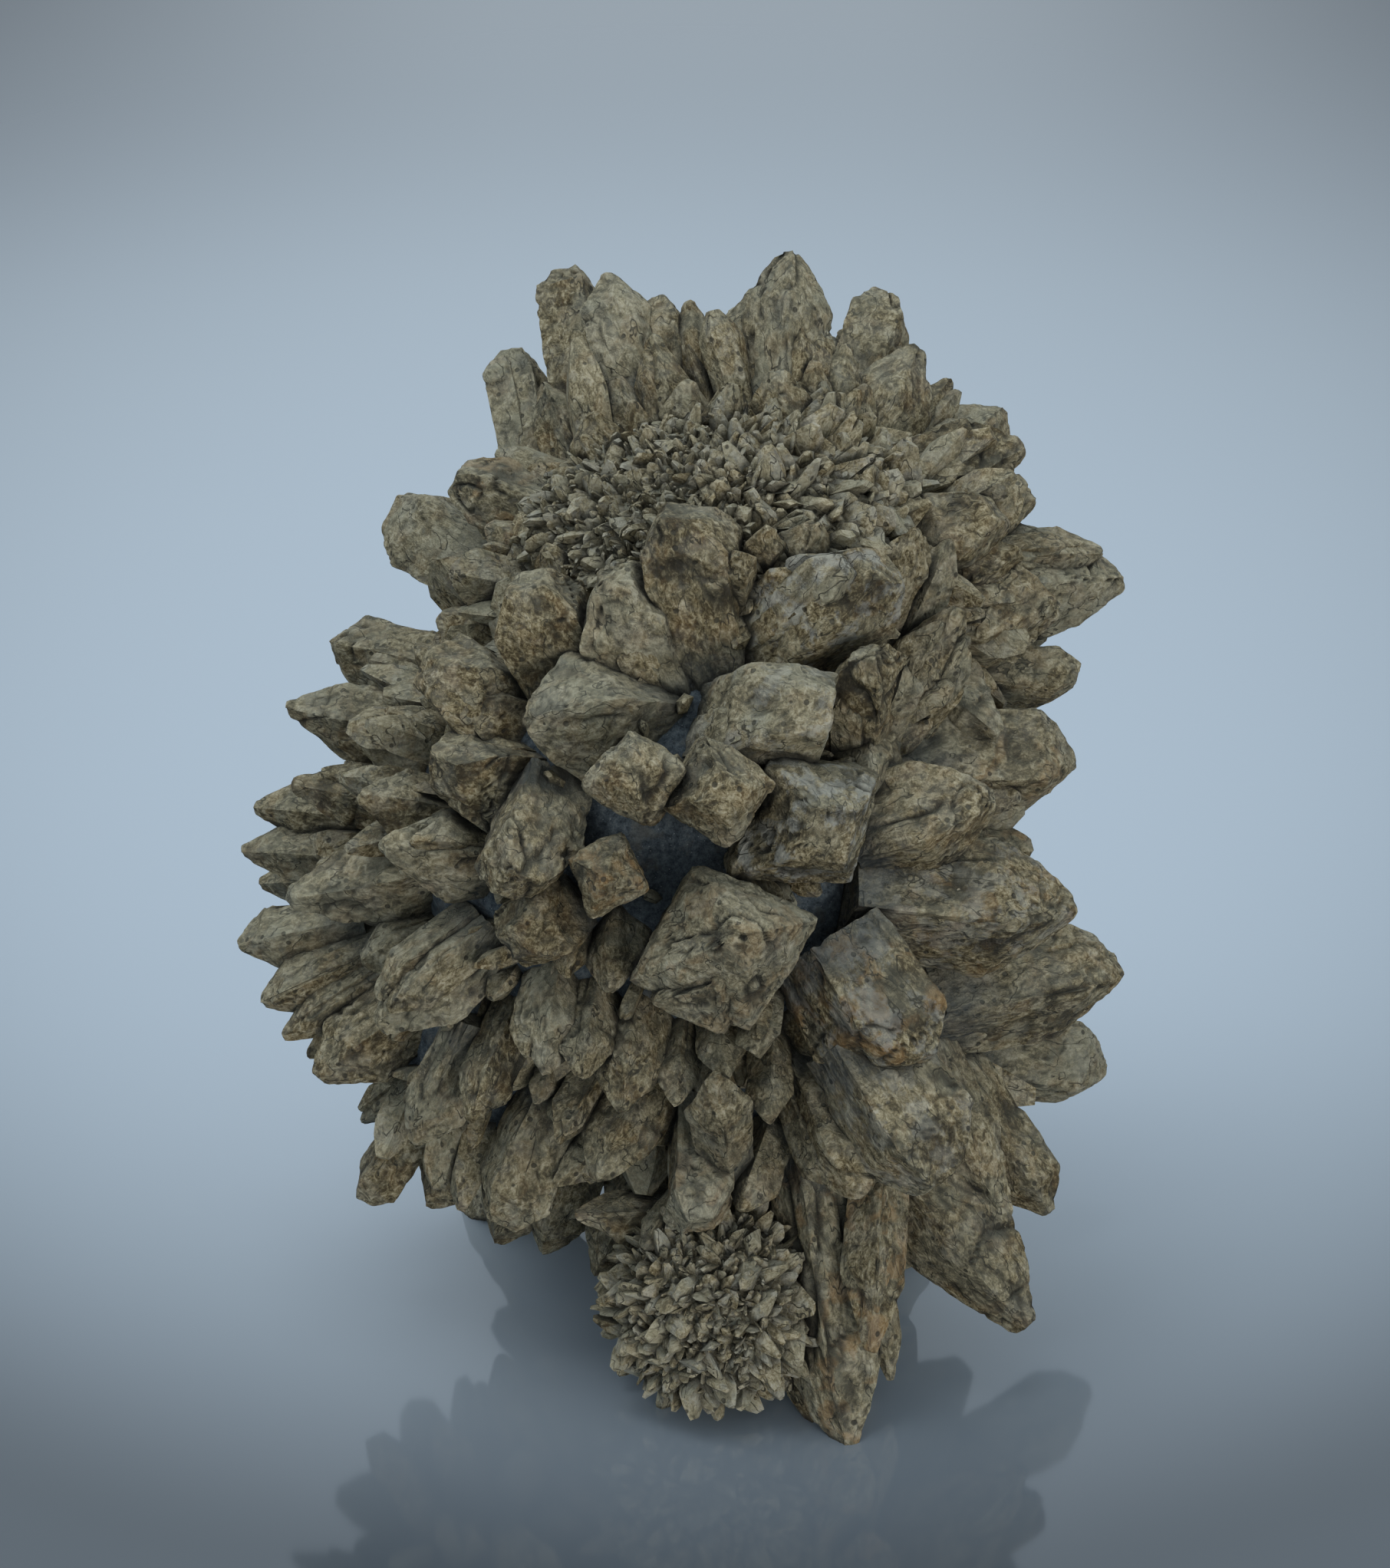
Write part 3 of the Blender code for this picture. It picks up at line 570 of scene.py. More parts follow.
# Thinner blades that lean on a crystal: how far out they stand and how wide they are, as shares of the
# crystal's, how far back they end, as a share of its point and a quarter of its length, how much of the way
# out they are at the root and at the tip, and the most that they turn and end back.
LEDGE_SEED = 29
LEDGE_FROM_WIDTH = 7 * MM
LEDGE_COUNTS = (0, 1, 2, 2)
LEDGE_OUT = (0.36, 0.6)
LEDGE_SIZE = (0.48, 0.7)
LEDGE_BACK = (0.12, 1.0)
LEDGE_BACK_SCALE = 0.7
LEDGE_MOST_BACK = 0.6
LEDGE_OUT_AT_ROOT = 0.8
LEDGE_OUT_AT_TIP = 0.92
LEDGE_TURN = 0.12


def ledges_of(blade, count, rng):
    """Thinner blades side by side with a crystal, set back from its point."""
    axis = (blade.tip - blade.root).normalized()
    length = (blade.tip - blade.root).length
    normal = axis.cross(blade.side)
    blades = []
    for _ in range(count):
        turn = rng.uniform(0, math.tau)
        out = rng.uniform(*LEDGE_OUT)
        size = rng.uniform(*LEDGE_SIZE)
        point = blade.taper * 2 * blade.half_width
        back = rng.uniform(*LEDGE_BACK) * (point + 0.25 * length) * LEDGE_BACK_SCALE
        roll = rng.uniform(-LEDGE_TURN, LEDGE_TURN)
        shift = blade.side * math.cos(turn) * blade.half_width * out
        shift += normal * math.sin(turn) * blade.half_depth * out
        blades.append(
            blade._replace(
                root=blade.root + shift * LEDGE_OUT_AT_ROOT,
                tip=blade.tip + shift * LEDGE_OUT_AT_TIP - axis * min(back, LEDGE_MOST_BACK * length),
                side=Matrix.Rotation(roll, 3, axis) @ blade.side,
                half_width=blade.half_width * size,
                half_depth=blade.half_depth * size,
                rings=rings_for(blade.half_width * size * 2, blade.taper),
            )
        )
    return blades


def with_ledges(rows):
    """The blades of a table and the thinner ones that lean on them."""
    rng = random.Random(LEDGE_SEED + len(rows))
    blades = []
    for crystal in (Crystal(*row) for row in rows):
        blade = blade_of(crystal)
        count = rng.choice(LEDGE_COUNTS)
        if crystal.ledges is not None:
            count = crystal.ledges
        elif blade.half_width * 2 < LEDGE_FROM_WIDTH:
            count = 0
        blades += [blade, *ledges_of(blade, count, rng)]
    return blades


# Noise, on whole-number places mixed to repeatable numbers.
def lattice(cells, seed):
    """A number from 0 to 1 for each whole-number place."""
    mixed = cells[:, 0] * 374761393 + cells[:, 1] * 668265263 + cells[:, 2] * 1442695041 + seed * 974634777
    mixed = mixed.astype(np.uint32)
    mixed = (mixed ^ (mixed >> np.uint32(13))) * np.uint32(1274126177)
    mixed ^= mixed >> np.uint32(16)
    return (mixed & np.uint32(0xFFFFFF)) / 0xFFFFFF


def noise(points, scale, seed):
    """Smooth noise from -1 to 1, whose lumps are scale mm across, or scale[i] along axis i."""
    places = points / np.asarray(scale, float)
    cells = np.floor(places)
    part = places - cells
    part = part ** 3 * (part * (part * 6 - 15) + 10)
    cells = cells.astype(np.int64)
    total = np.zeros(len(points))
    for corner in product((0, 1), repeat=3):
        weight = np.prod(np.where(corner, part, 1 - part), axis=1)
        total += weight * lattice(cells + corner, seed)
    return 2 * total - 1


def layered_noise(points, scale, seed, layers=3):
    """Noise with finer noise on it, each layer half the last."""
    scale = np.asarray(scale, float)
    total, weight = 0, 1
    for i in range(layers):
        total = total + weight * noise(points, scale / 2 ** i, seed + i)
        weight /= 2
    return total / (2 - 2 * weight)


def smooth_step(low, high, values):
    share = np.clip((values - low) / (high - low), 0, 1)
    return share * share * (3 - 2 * share)


# How wide the foot of a terrace is, as a share of its step.
TERRACE_FOOT = 0.22


def terraces(values, edge):
    """Whole steps of the values, and how near each point is to the foot of the next step."""
    whole = np.floor(values)
    part = values - whole
    rise = smooth_step(edge, 1.0, part)
    return whole + rise, smooth_step(edge - TERRACE_FOOT, edge, part) - rise


def weathering(grain, strength):
    """How far each point of a crystal stands out, in mm, from its plates, streaks, cracks and pits, and how
    near it is to the foot of a plate."""
    broad = layered_noise(grain, (10, 10, 16), 10, 2)
    plates, foot = terraces(layered_noise(grain, (5.5, 5.5, 7.5), 20, 2) * 3.0, 0.88)
    scales, _ = terraces(layered_noise(grain, (1.8, 1.8, 2.6), 25, 1) * 2.5, 0.7)
    streaks = layered_noise(grain, (1.4, 1.4, 6), 30, 2)
    dashes = noise(grain, (1.0, 1.0, 1.5), 40)
    crack = np.abs(noise(grain, (6, 6, 13), 50))
    crack = (1 - smooth_step(0.0, 0.09, crack)) * smooth_step(0.0, 0.35, noise(grain, 12, 51))
    break_line = np.abs(noise(grain, (13, 13, 8), 55))
    break_line = (1 - smooth_step(0.0, 0.05, break_line)) * smooth_step(0.1, 0.4, noise(grain, 11, 56))
    pits = smooth_step(0.35, 0.7, noise(grain, 1.5, 60)) * smooth_step(0.05, 0.5, noise(grain, 8, 61))
    height = 0.06 * broad + 0.22 * plates + 0.09 * scales + 0.03 * streaks + 0.10 * dashes
    height -= 0.55 * np.maximum(crack, break_line) + 0.4 * pits
    return height * strength, np.maximum(foot, np.maximum(crack, break_line))


# The fine mesh of one crystal, in its own axes and in mm: x across, y deep, z along.
Grid = namedtuple("Grid", "points faces along")

# How a crystal's shape differs from a plain one. Lengths are shares of its half width, of its length for
# the shaft and the root, and of a side for the worn edges.
WEAR = (0.04, 0.015)
MOST_WEAR = 0.4
LEAST_SHAFT = 0.3
ROOT_END = 0.42
ROOT_STEPS = 2.5
EDGE_WEAR = 0.025
EDGE_REACH = 0.04
BULGE = (-0.02, 0.06)
CORNER_SIZE = (0.9, 1.1)
LEAN = 0.12
SLANT = 0.3
HALVED_FROM = 0.55
WARP = 0.02
WARP_LUMPS = 13


def sizes_of(blade):
    """A crystal's length, half width and half depth in mm."""
    return (blade.tip - blade.root).length / MM, blade.half_width / MM, blade.half_depth / MM


def worn_outline(blade):
    """(along, wide) pairs in mm of a crystal's side, its corners worn round."""
    length, half_width, _ = sizes_of(blade)
    shaft = max(length - blade.taper * 2 * half_width, LEAST_SHAFT * length)
    outline = [(0.0, ROOT_WIDTH * half_width), (shaft, half_width)]
    outline += [(shaft + share * (length - shaft), width * half_width) for share, width in blade.rings]
    outline = [Vector(point) for point in (*outline, (length, 0.0))]
    for reach in WEAR:
        worn = [outline[0]]
        for before, corner, after in zip(outline, outline[1:], outline[2:]):
            for beside in (before, after):
                share = min(MOST_WEAR, reach * half_width / max((beside - corner).length, 1e-6))
                worn.append(corner.lerp(beside, share))
        outline = worn + [outline[-1]]
    return outline


def ring_places(outline, step):
    """(along, wide) of each ring of a crystal: widely spaced near the root, step mm apart from there."""
    outline = np.array([tuple(point) for point in outline])
    run = np.concatenate([[0], np.cumsum(np.hypot(*np.diff(outline, axis=0).T))])
    rough = ROOT_END * run[-1]
    fine = np.linspace(rough, run[-1], max(3, round((run[-1] - rough) / step)) + 1)
    places = np.concatenate([np.arange(0, rough, step * ROOT_STEPS), fine])
    return np.interp(places, run, outline[:, 0]), np.interp(places, run, outline[:, 1])


def contour(count, bulge, sizes):
    """Points around a four-sided crystal of half width and depth 1, its sides bulging and its edges worn."""
    turn = np.arange(count) / count * 4
    side = np.floor(turn).astype(int) % 4
    part = turn - np.floor(turn)
    corners = np.array([(1, 0), (0, 1), (-1, 0), (0, -1)]) * sizes[:, None]
    points = corners[side] * (1 - part)[:, None] + corners[(side + 1) % 4] * part[:, None]
    from_edge = np.minimum(part, 1 - part)
    swell = 1 + bulge * (1 - (2 * part - 1) ** 2) - EDGE_WEAR * np.exp(-((from_edge / EDGE_REACH) ** 2))
    return points * swell[:, None]


def ring_faces(low, high):
    """The triangles between two rings of as many points."""
    low_next, high_next = np.roll(low, -1), np.roll(high, -1)
    return [np.column_stack([low, low_next, high]), np.column_stack([low_next, high_next, high])]


def halved_ring_faces(low, high):
    """The triangles between a ring and one of half as many points."""
    even, odd = low[0::2], low[1::2]
    next_even, high_next = np.roll(even, -1), np.roll(high, -1)
    triples = (even, odd, high), (odd, high_next, high), (odd, next_even, high_next)
    return [np.column_stack(triple) for triple in triples]


def end_faces(first, second, middle):
    """The triangles that close a ring, from each point in first to the one in second."""
    return np.column_stack([first, second, np.full(len(first), middle)])


def grid_of(blade, step, rng):
    """The fine closed mesh of a crystal. The number of points around it halves as its point narrows."""
    along, wide = ring_places(worn_outline(blade), step)
    _, half_width, half_depth = sizes_of(blade)
    most = 4 * max(1, round(math.hypot(half_width, half_depth) / step / 4)) * 4
    bulge = rng.uniform(*BULGE)
    sizes = np.array([rng.uniform(*CORNER_SIZE) for _ in range(4)])
    lean = np.array(shaken(rng, LEAN, 2))
    slant = np.array(shaken(rng, SLANT, 2)) * half_width
    points, faces = [], []
    start, count = 0, most
    ring = None
    for place, width in zip(along[:-1], wide[:-1]):
        share = width / half_width
        fewer = count > 8 and count % 8 == 0 and share < HALVED_FROM * count / most
        if fewer:
            count //= 2
        shape = contour(count, bulge, sizes) * share + lean * (1 - min(share / ROOT_WIDTH, 1))
        rise = place + shape @ slant * (place / along[-1]) ** 2
        points.append(np.column_stack([shape * (half_width, half_depth), rise]))
        ids = start + np.arange(count)
        start += count
        if ring is None:
            faces.append(end_faces(np.roll(ids, -1), ids, -1))
        else:
            faces += halved_ring_faces(ring, ids) if fewer else ring_faces(ring, ids)
        ring = ids
    points.append([[lean[0] * half_width, lean[1] * half_depth, along[-1]], [0, 0, 0]])
    faces.append(end_faces(ring, np.roll(ring, -1), start))
    faces = np.concatenate(faces)
    faces[faces < 0] = start + 1
    points = np.concatenate(points)
    return Grid(points, faces, points[:, 2] / along[-1])


def normals_of(points, faces):
    """The unit normal at each point of a closed mesh."""
    corners = points[faces]
    face_normals = np.cross(corners[:, 1] - corners[:, 0], corners[:, 2] - corners[:, 0])
    total = np.zeros_like(points)
    for i in range(3):
        for k in range(3):
            total[:, k] += np.bincount(faces[:, i], face_normals[:, k], len(points))
    return total / np.maximum(np.linalg.norm(total, axis=1), 1e-12)[:, None]


def placed(points, blade):
    """Points in a crystal's own axes and in mm, moved to its place in the world."""
    axis = (blade.tip - blade.root).normalized()
    turn = np.array((blade.side, axis.cross(blade.side), axis))
    return points * MM @ turn + np.array(blade.root + CENTRING)


def new_mesh(name, points, faces, **corner_values):
    """A mesh of triangles, with a vector at each of its corners under each name."""
    mesh = bpy.data.meshes.new(name)
    mesh.vertices.add(len(points))
    mesh.vertices.foreach_set("co", np.ascontiguousarray(points, np.float32).ravel())
    mesh.loops.add(len(faces) * 3)
    mesh.loops.foreach_set("vertex_index", np.ascontiguousarray(faces, np.int32).ravel())
    mesh.polygons.add(len(faces))
    mesh.polygons.foreach_set("loop_start", np.arange(0, len(faces) * 3, 3, dtype=np.int32))
    for key, values in corner_values.items():
        layer = mesh.attributes.new(key, "FLOAT_VECTOR", "CORNER")
        layer.data.foreach_set("vector", np.ascontiguousarray(values[faces], np.float32).ravel())
    mesh.update(calc_edges=True)
    return mesh


def new_object(name, data, collection=None):
    obj = bpy.data.objects.new(name, data)
    (collection or bpy.context.scene.collection).objects.link(obj)
    return obj


def new_collection(name):
    collection = bpy.data.collections.new(name)
    bpy.context.scene.collection.children.link(collection)
    return collection


# How much of the weathering a crystal takes: all from the first width on, in mm, and less as it is smaller.
# The grain of each crystal starts somewhere else, this far off at most, in mm.
FULL_WEATHERING_WIDTH = 15.0
LEAST_WEATHERING = 0.3
GRAIN_START = 400


def crystal_mesh(blade, step, rng):
    """The weathered mesh of one crystal in its place."""
    grid = grid_of(blade, step, rng)
    grain = grid.points + np.array(shaken(rng, GRAIN_START))
    tint = rng.random()
    strength = max(LEAST_WEATHERING, min(1, blade.half_width * 2 / MM / FULL_WEATHERING_WIDTH))
    height, foot = weathering(grain, strength)
    points = grid.points + normals_of(grid.points, grid.faces) * height[:, None]
    warp = np.column_stack([noise(grain, WARP_LUMPS, 70 + i) for i in range(3)])
    points += warp * WARP * blade.half_width / MM
    count = len(points)
    mark = np.column_stack([grid.along, height, np.full(count, tint)])
    looks = np.column_stack([np.full(count, blade.stain), np.full(count, blade.white), foot])
    return new_mesh("crystal", placed(points, blade), grid.faces, grain=grain, mark=mark, looks=looks)


# A small crystal's number of sides, and the most that its corners are turned, the most that its ends slant,
# its shortest shaft and the width of its root, as shares of a side, of its width and of its length.
SHARD_SIDES = (4, 4, 5, 6)
SHARD_TURN = 0.22
SHARD_SLANT = 0.35
SHARD_SHAFT = 0.35
SHARD_ROOT_WIDTH = 0.9


def shard_mesh(blade, rng):
    """A small crystal of a few flat faces in its place."""
    length, half_width, half_depth = sizes_of(blade)
    shaft = max(length - blade.taper * 2 * half_width, SHARD_SHAFT * length)
    count = rng.choice(SHARD_SIDES)
    ring = np.arange(count)
    turns = (ring + np.array(shaken(rng, SHARD_TURN, count))) * math.tau / count
    shape = np.column_stack([np.cos(turns) * half_width, np.sin(turns) * half_depth])
    slant = np.array(shaken(rng, SHARD_SLANT, 2))
    outline = [(0.0, SHARD_ROOT_WIDTH), (shaft, 1.0)]
    outline += [(shaft + share * (length - shaft), width) for share, width in blade.rings]
    points = []
    for place, width in outline:
        rise = place + shape @ slant * width * place / length
        points.append(np.column_stack([shape * width, rise]))
    points = np.concatenate([*points, [[0, 0, 0], [0, 0, length]]])
    faces = [end_faces(np.roll(ring, -1), ring, len(points) - 2)]
    for _ in outline[1:]:
        faces += ring_faces(ring, ring + count)
        ring = ring + count
    faces.append(end_faces(ring, np.roll(ring, -1), len(points) - 1))
    grain = points + np.array(shaken(rng, GRAIN_START))
    mark = np.column_stack([points[:, 2] / length, points[:, 2] * 0, np.full(len(points), rng.random())])
    looks = np.tile((blade.stain, blade.white, 0.0), (len(points), 1))
    world = placed(points, blade)
    return new_mesh("shard", world, np.concatenate(faces), grain=grain, mark=mark, looks=looks)


# The cores, which show as the dark matrix: how often each one's faces are divided, and the height and the
# size in mm of the lumps and the grains on them. Their pale crust ends from the first share of a patch of
# small crystals to the second.
CORE_FINENESS = (6, 6, 5, 5, 5, 5)
CORE_LUMPS = (1.2, 6)
CORE_GRAINS = (0.35, 1.3)
CRUST_ENDS = (1.3, 1.05)


def core_mesh(lobe, fineness):
    """The rough ellipsoid that the crystals of a lobe stand in."""
    bm = bmesh.new()
    bmesh.ops.create_icosphere(bm, subdivisions=fineness, radius=1.0)
    points = np.array([vert.co[:] for vert in bm.verts])
    faces = np.array([[vert.index for vert in face.verts] for face in bm.faces])
    bm.free()
    centre = np.array(lobe_centre(lobe) + CENTRING) / MM
    places = points * np.array(lobe.radii) + centre
    lumps = 0.5 + 0.5 * layered_noise(places, CORE_LUMPS[1], 80, 3)
    grains = layered_noise(places, CORE_GRAINS[1], 85, 2)
    height = CORE_LUMPS[0] * lumps + CORE_GRAINS[0] * grains
    places += points * height[:, None]
    x, y = pixel_of(places * MM - np.array(CENTRING))
    crust = np.zeros(len(points))
    for druse in DRUSES:
        crust = np.maximum(crust, smooth_step(*CRUST_ENDS, patch_share(druse, x, y)))
    crust *= smooth_step(-0.2, 0.2, points @ np.array(TOWARD_EYE))
    mark = np.column_stack([crust, height, np.zeros(len(points))])
    return new_mesh("core", places * MM, faces, grain=places, mark=mark)


# A connected part of a piece with fewer faces than this is a crumb.
FEWEST_FACES = 14


def part_labels(faces, count):
    """A number for each of the points, the same for all points of a connected part."""
    label = np.arange(count)
    ends = np.concatenate([faces[:, [0, 1]], faces[:, [1, 2]], faces[:, [2, 0]]])
    while True:
        least = label.copy()
        np.minimum.at(least, ends[:, 0], label[ends[:, 1]])
        np.minimum.at(least, ends[:, 1], label[ends[:, 0]])
        least = least[least]
        least = least[least]
        if (least == label).all():
            return label
        label = least


def drop_pockets_and_crumbs(mesh):
    """Deletes the parts that are inside out or have few faces."""
    mesh.calc_loop_triangles()
    faces = np.empty(len(mesh.loop_triangles) * 3, np.int32)
    mesh.loop_triangles.foreach_get("vertices", faces)
    faces = faces.reshape(-1, 3)
    points = np.empty(len(mesh.vertices) * 3, np.float32)
    mesh.vertices.foreach_get("co", points)
    points = points.reshape(-1, 3).astype(float)
    label = part_labels(faces, len(points))
    of_face = label[faces[:, 0]]
    volumes = np.bincount(of_face, np.linalg.det(points[faces] - points.mean(0)), len(points))
    sizes = np.bincount(of_face, minlength=len(points))
    dropped = ((volumes < 0) | (sizes < FEWEST_FACES))[label]
    if not dropped.any():
        return
    bm = bmesh.new()
    bm.from_mesh(mesh)
    doomed = [vert for vert, drop in zip(bm.verts, dropped) if drop]
    bmesh.ops.delete(bm, geom=doomed, context="VERTS")
    bm.to_mesh(mesh)
    bm.free()


# What is cut away: everything under the floor, and the middle of each large core, where only roots are.
INNER_SHARE = 0.8
FLOOR_CUTTER_SIZE = 0.4


def shape_mesh(name, shape, **settings):
    """A mesh of one of Blender's shapes."""
    bm = bmesh.new()
    shape(bm, **settings)
    mesh = bpy.data.meshes.new(name)
    bm.to_mesh(mesh)
    bm.free()
    return mesh


def add_cutters():
    """The shapes that the pieces of crystals are cut by."""
    collection = new_collection("cutters")
    for lobe in LARGE_LOBES:
        size = Matrix.Diagonal((*(radius * MM * INNER_SHARE for radius in lobe.radii), 1))
        place = Matrix.Translation(lobe_centre(lobe) + CENTRING) @ size
        ball = shape_mesh("inner", bmesh.ops.create_icosphere, subdivisions=3, radius=1.0, matrix=place)
        new_object("inner", ball, collection)
    below = Matrix.Translation((0, 0, -FLOOR_CUTTER_SIZE / 2))
    block = shape_mesh("floor_cutter", bmesh.ops.create_cube, size=FLOOR_CUTTER_SIZE, matrix=below)
    new_object("floor_cutter", block, collection)
    return collection


# An edge that turns by more than this is drawn sharp.
SHARP_ANGLE = math.radians(34)


def join(name, meshes, cutters, material):
    """One closed piece of the meshes, cut level with the floor."""
    growth = new_collection("growth")
    piece = new_object(name, meshes[0])
    for mesh in meshes[1:]:
        new_object("grown", mesh, growth)
    steps = [("UNION", growth)] if len(meshes) > 1 else []
    for operation, operands in steps + [("DIFFERENCE", cutters)]:
        modifier = piece.modifiers.new(operation, "BOOLEAN")
        modifier.operation = operation
        modifier.solver = "MANIFOLD"
        modifier.operand_type = "COLLECTION"
        modifier.collection = operands
    graph = bpy.context.evaluated_depsgraph_get()
    mesh = bpy.data.meshes.new_from_object(piece.evaluated_get(graph))
    piece.modifiers.clear()
    piece.data = mesh
    for obj in list(growth.objects):
        bpy.data.objects.remove(obj)
    bpy.data.collections.remove(growth)
    drop_pockets_and_crumbs(mesh)
    mesh.shade_smooth()
    mesh.set_sharp_from_angle(angle=SHARP_ANGLE)
    mesh.materials.clear()
    mesh.materials.append(material)
    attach(piece, "root")
    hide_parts(NODE)


def grow_piece(name, blades, step, cutters, material):
    """One piece of the crystals given."""
    rng = random.Random(name)
    join(name, [crystal_mesh(blade, step, rng) for blade in blades], cutters, material)


def grow_shards(name, blades, cutters, material):
    """One piece of small crystals."""
    rng = random.Random(name)
    join(name, [shard_mesh(blade, rng) for blade in blades], cutters, material)


# Materials. Each node is added with its inputs by name; a socket as an input is linked.
def add_node(tree, kind, inputs=(), **settings):
    node = tree.nodes.new("ShaderNode" + kind)
    for key, value in settings.items():
        setattr(node, key, value)
    for key, value in dict(inputs).items():
        socket = node.inputs[key]
        if isinstance(value, bpy.types.NodeSocket):
            tree.links.new(value, socket)
        else:
            socket.default_value = value
    return node


def mix(tree, share, first, second):
    """A colour between two."""
    first, second = ((*c, 1) if isinstance(c, tuple) else c for c in (first, second))
    return add_node(tree, "Mix", {0: share, 6: first, 7: second}, data_type="RGBA").outputs[2]


def maths(tree, operation, *values):
    return add_node(tree, "Math", enumerate(values), operation=operation).outputs[0]


def times(tree, first, second):
    return maths(tree, "MULTIPLY", first, second)


def added(tree, base, *weighted):
    """A value with others added, each by its weight."""
    for value, weight in weighted:
        base = maths(tree, "MULTIPLY_ADD", value, weight, base)
    return base


def centred(tree, value):
    """A value that runs from 0 to 1, from -0.5 to 0.5."""
    return maths(tree, "SUBTRACT", value, 0.5)


def band(tree, value, low, high, to_low=0.0, to_high=1.0):
    """A value's place between low and high, smoothed, from to_low to to_high."""
    inputs = {"Value": value, "From Min": low, "From Max": high, "To Min": to_low, "To Max": to_high}
    return add_node(tree, "MapRange", inputs, interpolation_type="SMOOTHSTEP").outputs[0]


def stretched(tree, vector, scale):
    """A vector with each part scaled."""
    return add_node(tree, "VectorMath", {0: vector, 1: scale}, operation="MULTIPLY").outputs[0]


def cloud(tree, vector, scale=1.0, detail=3.0, rough=0.55, warp=0.0):
    inputs = {"Vector": vector, "Scale": scale, "Detail": detail, "Roughness": rough, "Distortion": warp}
    return add_node(tree, "TexNoise", inputs).outputs[0]


def cells(tree, vector, scale):
    """How far each place is from the middle of its cell."""
    return add_node(tree, "TexVoronoi", {"Vector": vector, "Scale": scale}).outputs["Distance"]


def open_air(tree, distance):
    """How open a surface is to the air around it."""
    return add_node(tree, "AmbientOcclusion", {"Distance": distance}, samples=4).outputs["AO"]


def ramp(tree, value, *stops):
    """A colour ramp of (place, colour) stops."""
    node = add_node(tree, "ValToRGB", {0: value})
    elements = node.color_ramp.elements
    while len(elements) < len(stops):
        elements.new(0.5)
    for element, (place, colour) in zip(elements, stops):
        element.position = place
        element.color = (*colour, 1)
    return node.outputs[0]


def new_material(name):
    material = bpy.data.materials.new(name)
    material.use_nodes = True
    tree = material.node_tree
    return material, tree, tree.nodes["Principled BSDF"]


def attribute(tree, name):
    return add_node(tree, "Attribute", attribute_name=name).outputs["Vector"]


def parts_of(tree, vector):
    return add_node(tree, "SeparateXYZ", {0: vector}).outputs


def cover(tree, shader, colour, height, strength, distance):
    """Gives a shader its colour and its fine bumps."""
    bump = add_node(tree, "Bump", {"Height": height, "Strength": strength, "Distance": distance})
    tree.links.new(colour, shader.inputs["Base Color"])
    tree.links.new(bump.outputs[0], shader.inputs["Normal"])


# The stone's colours. The near-black brown is used for pits and cracks and also for painted shade in hollows
# and crevices; the darkest slate only for painted shade in the matrix's hollows.
DEEP_BROWN = (0.085, 0.064, 0.034)
OLIVE = (0.190, 0.152, 0.082)
TAN = (0.340, 0.282, 0.165)
PALE_TAN = (0.56, 0.49, 0.34)
GREY_TAN = (0.31, 0.31, 0.235)
RUST = (0.36, 0.21, 0.085)
WHITISH = (0.44, 0.45, 0.42)
SLATE = (0.060, 0.078, 0.092)
DIRT_AND_SHADE = (0.040, 0.038, 0.031)
MATRIX_DARK = (0.035, 0.046, 0.056)
MATRIX_MIDDLE = (0.100, 0.126, 0.146)
MATRIX_PALE = (0.19, 0.225, 0.24)
MATRIX_DUST = (0.15, 0.14, 0.11)
MATRIX_SPECK = (0.42, 0.45, 0.47)
MATRIX_SHADE = (0.016, 0.020, 0.025)


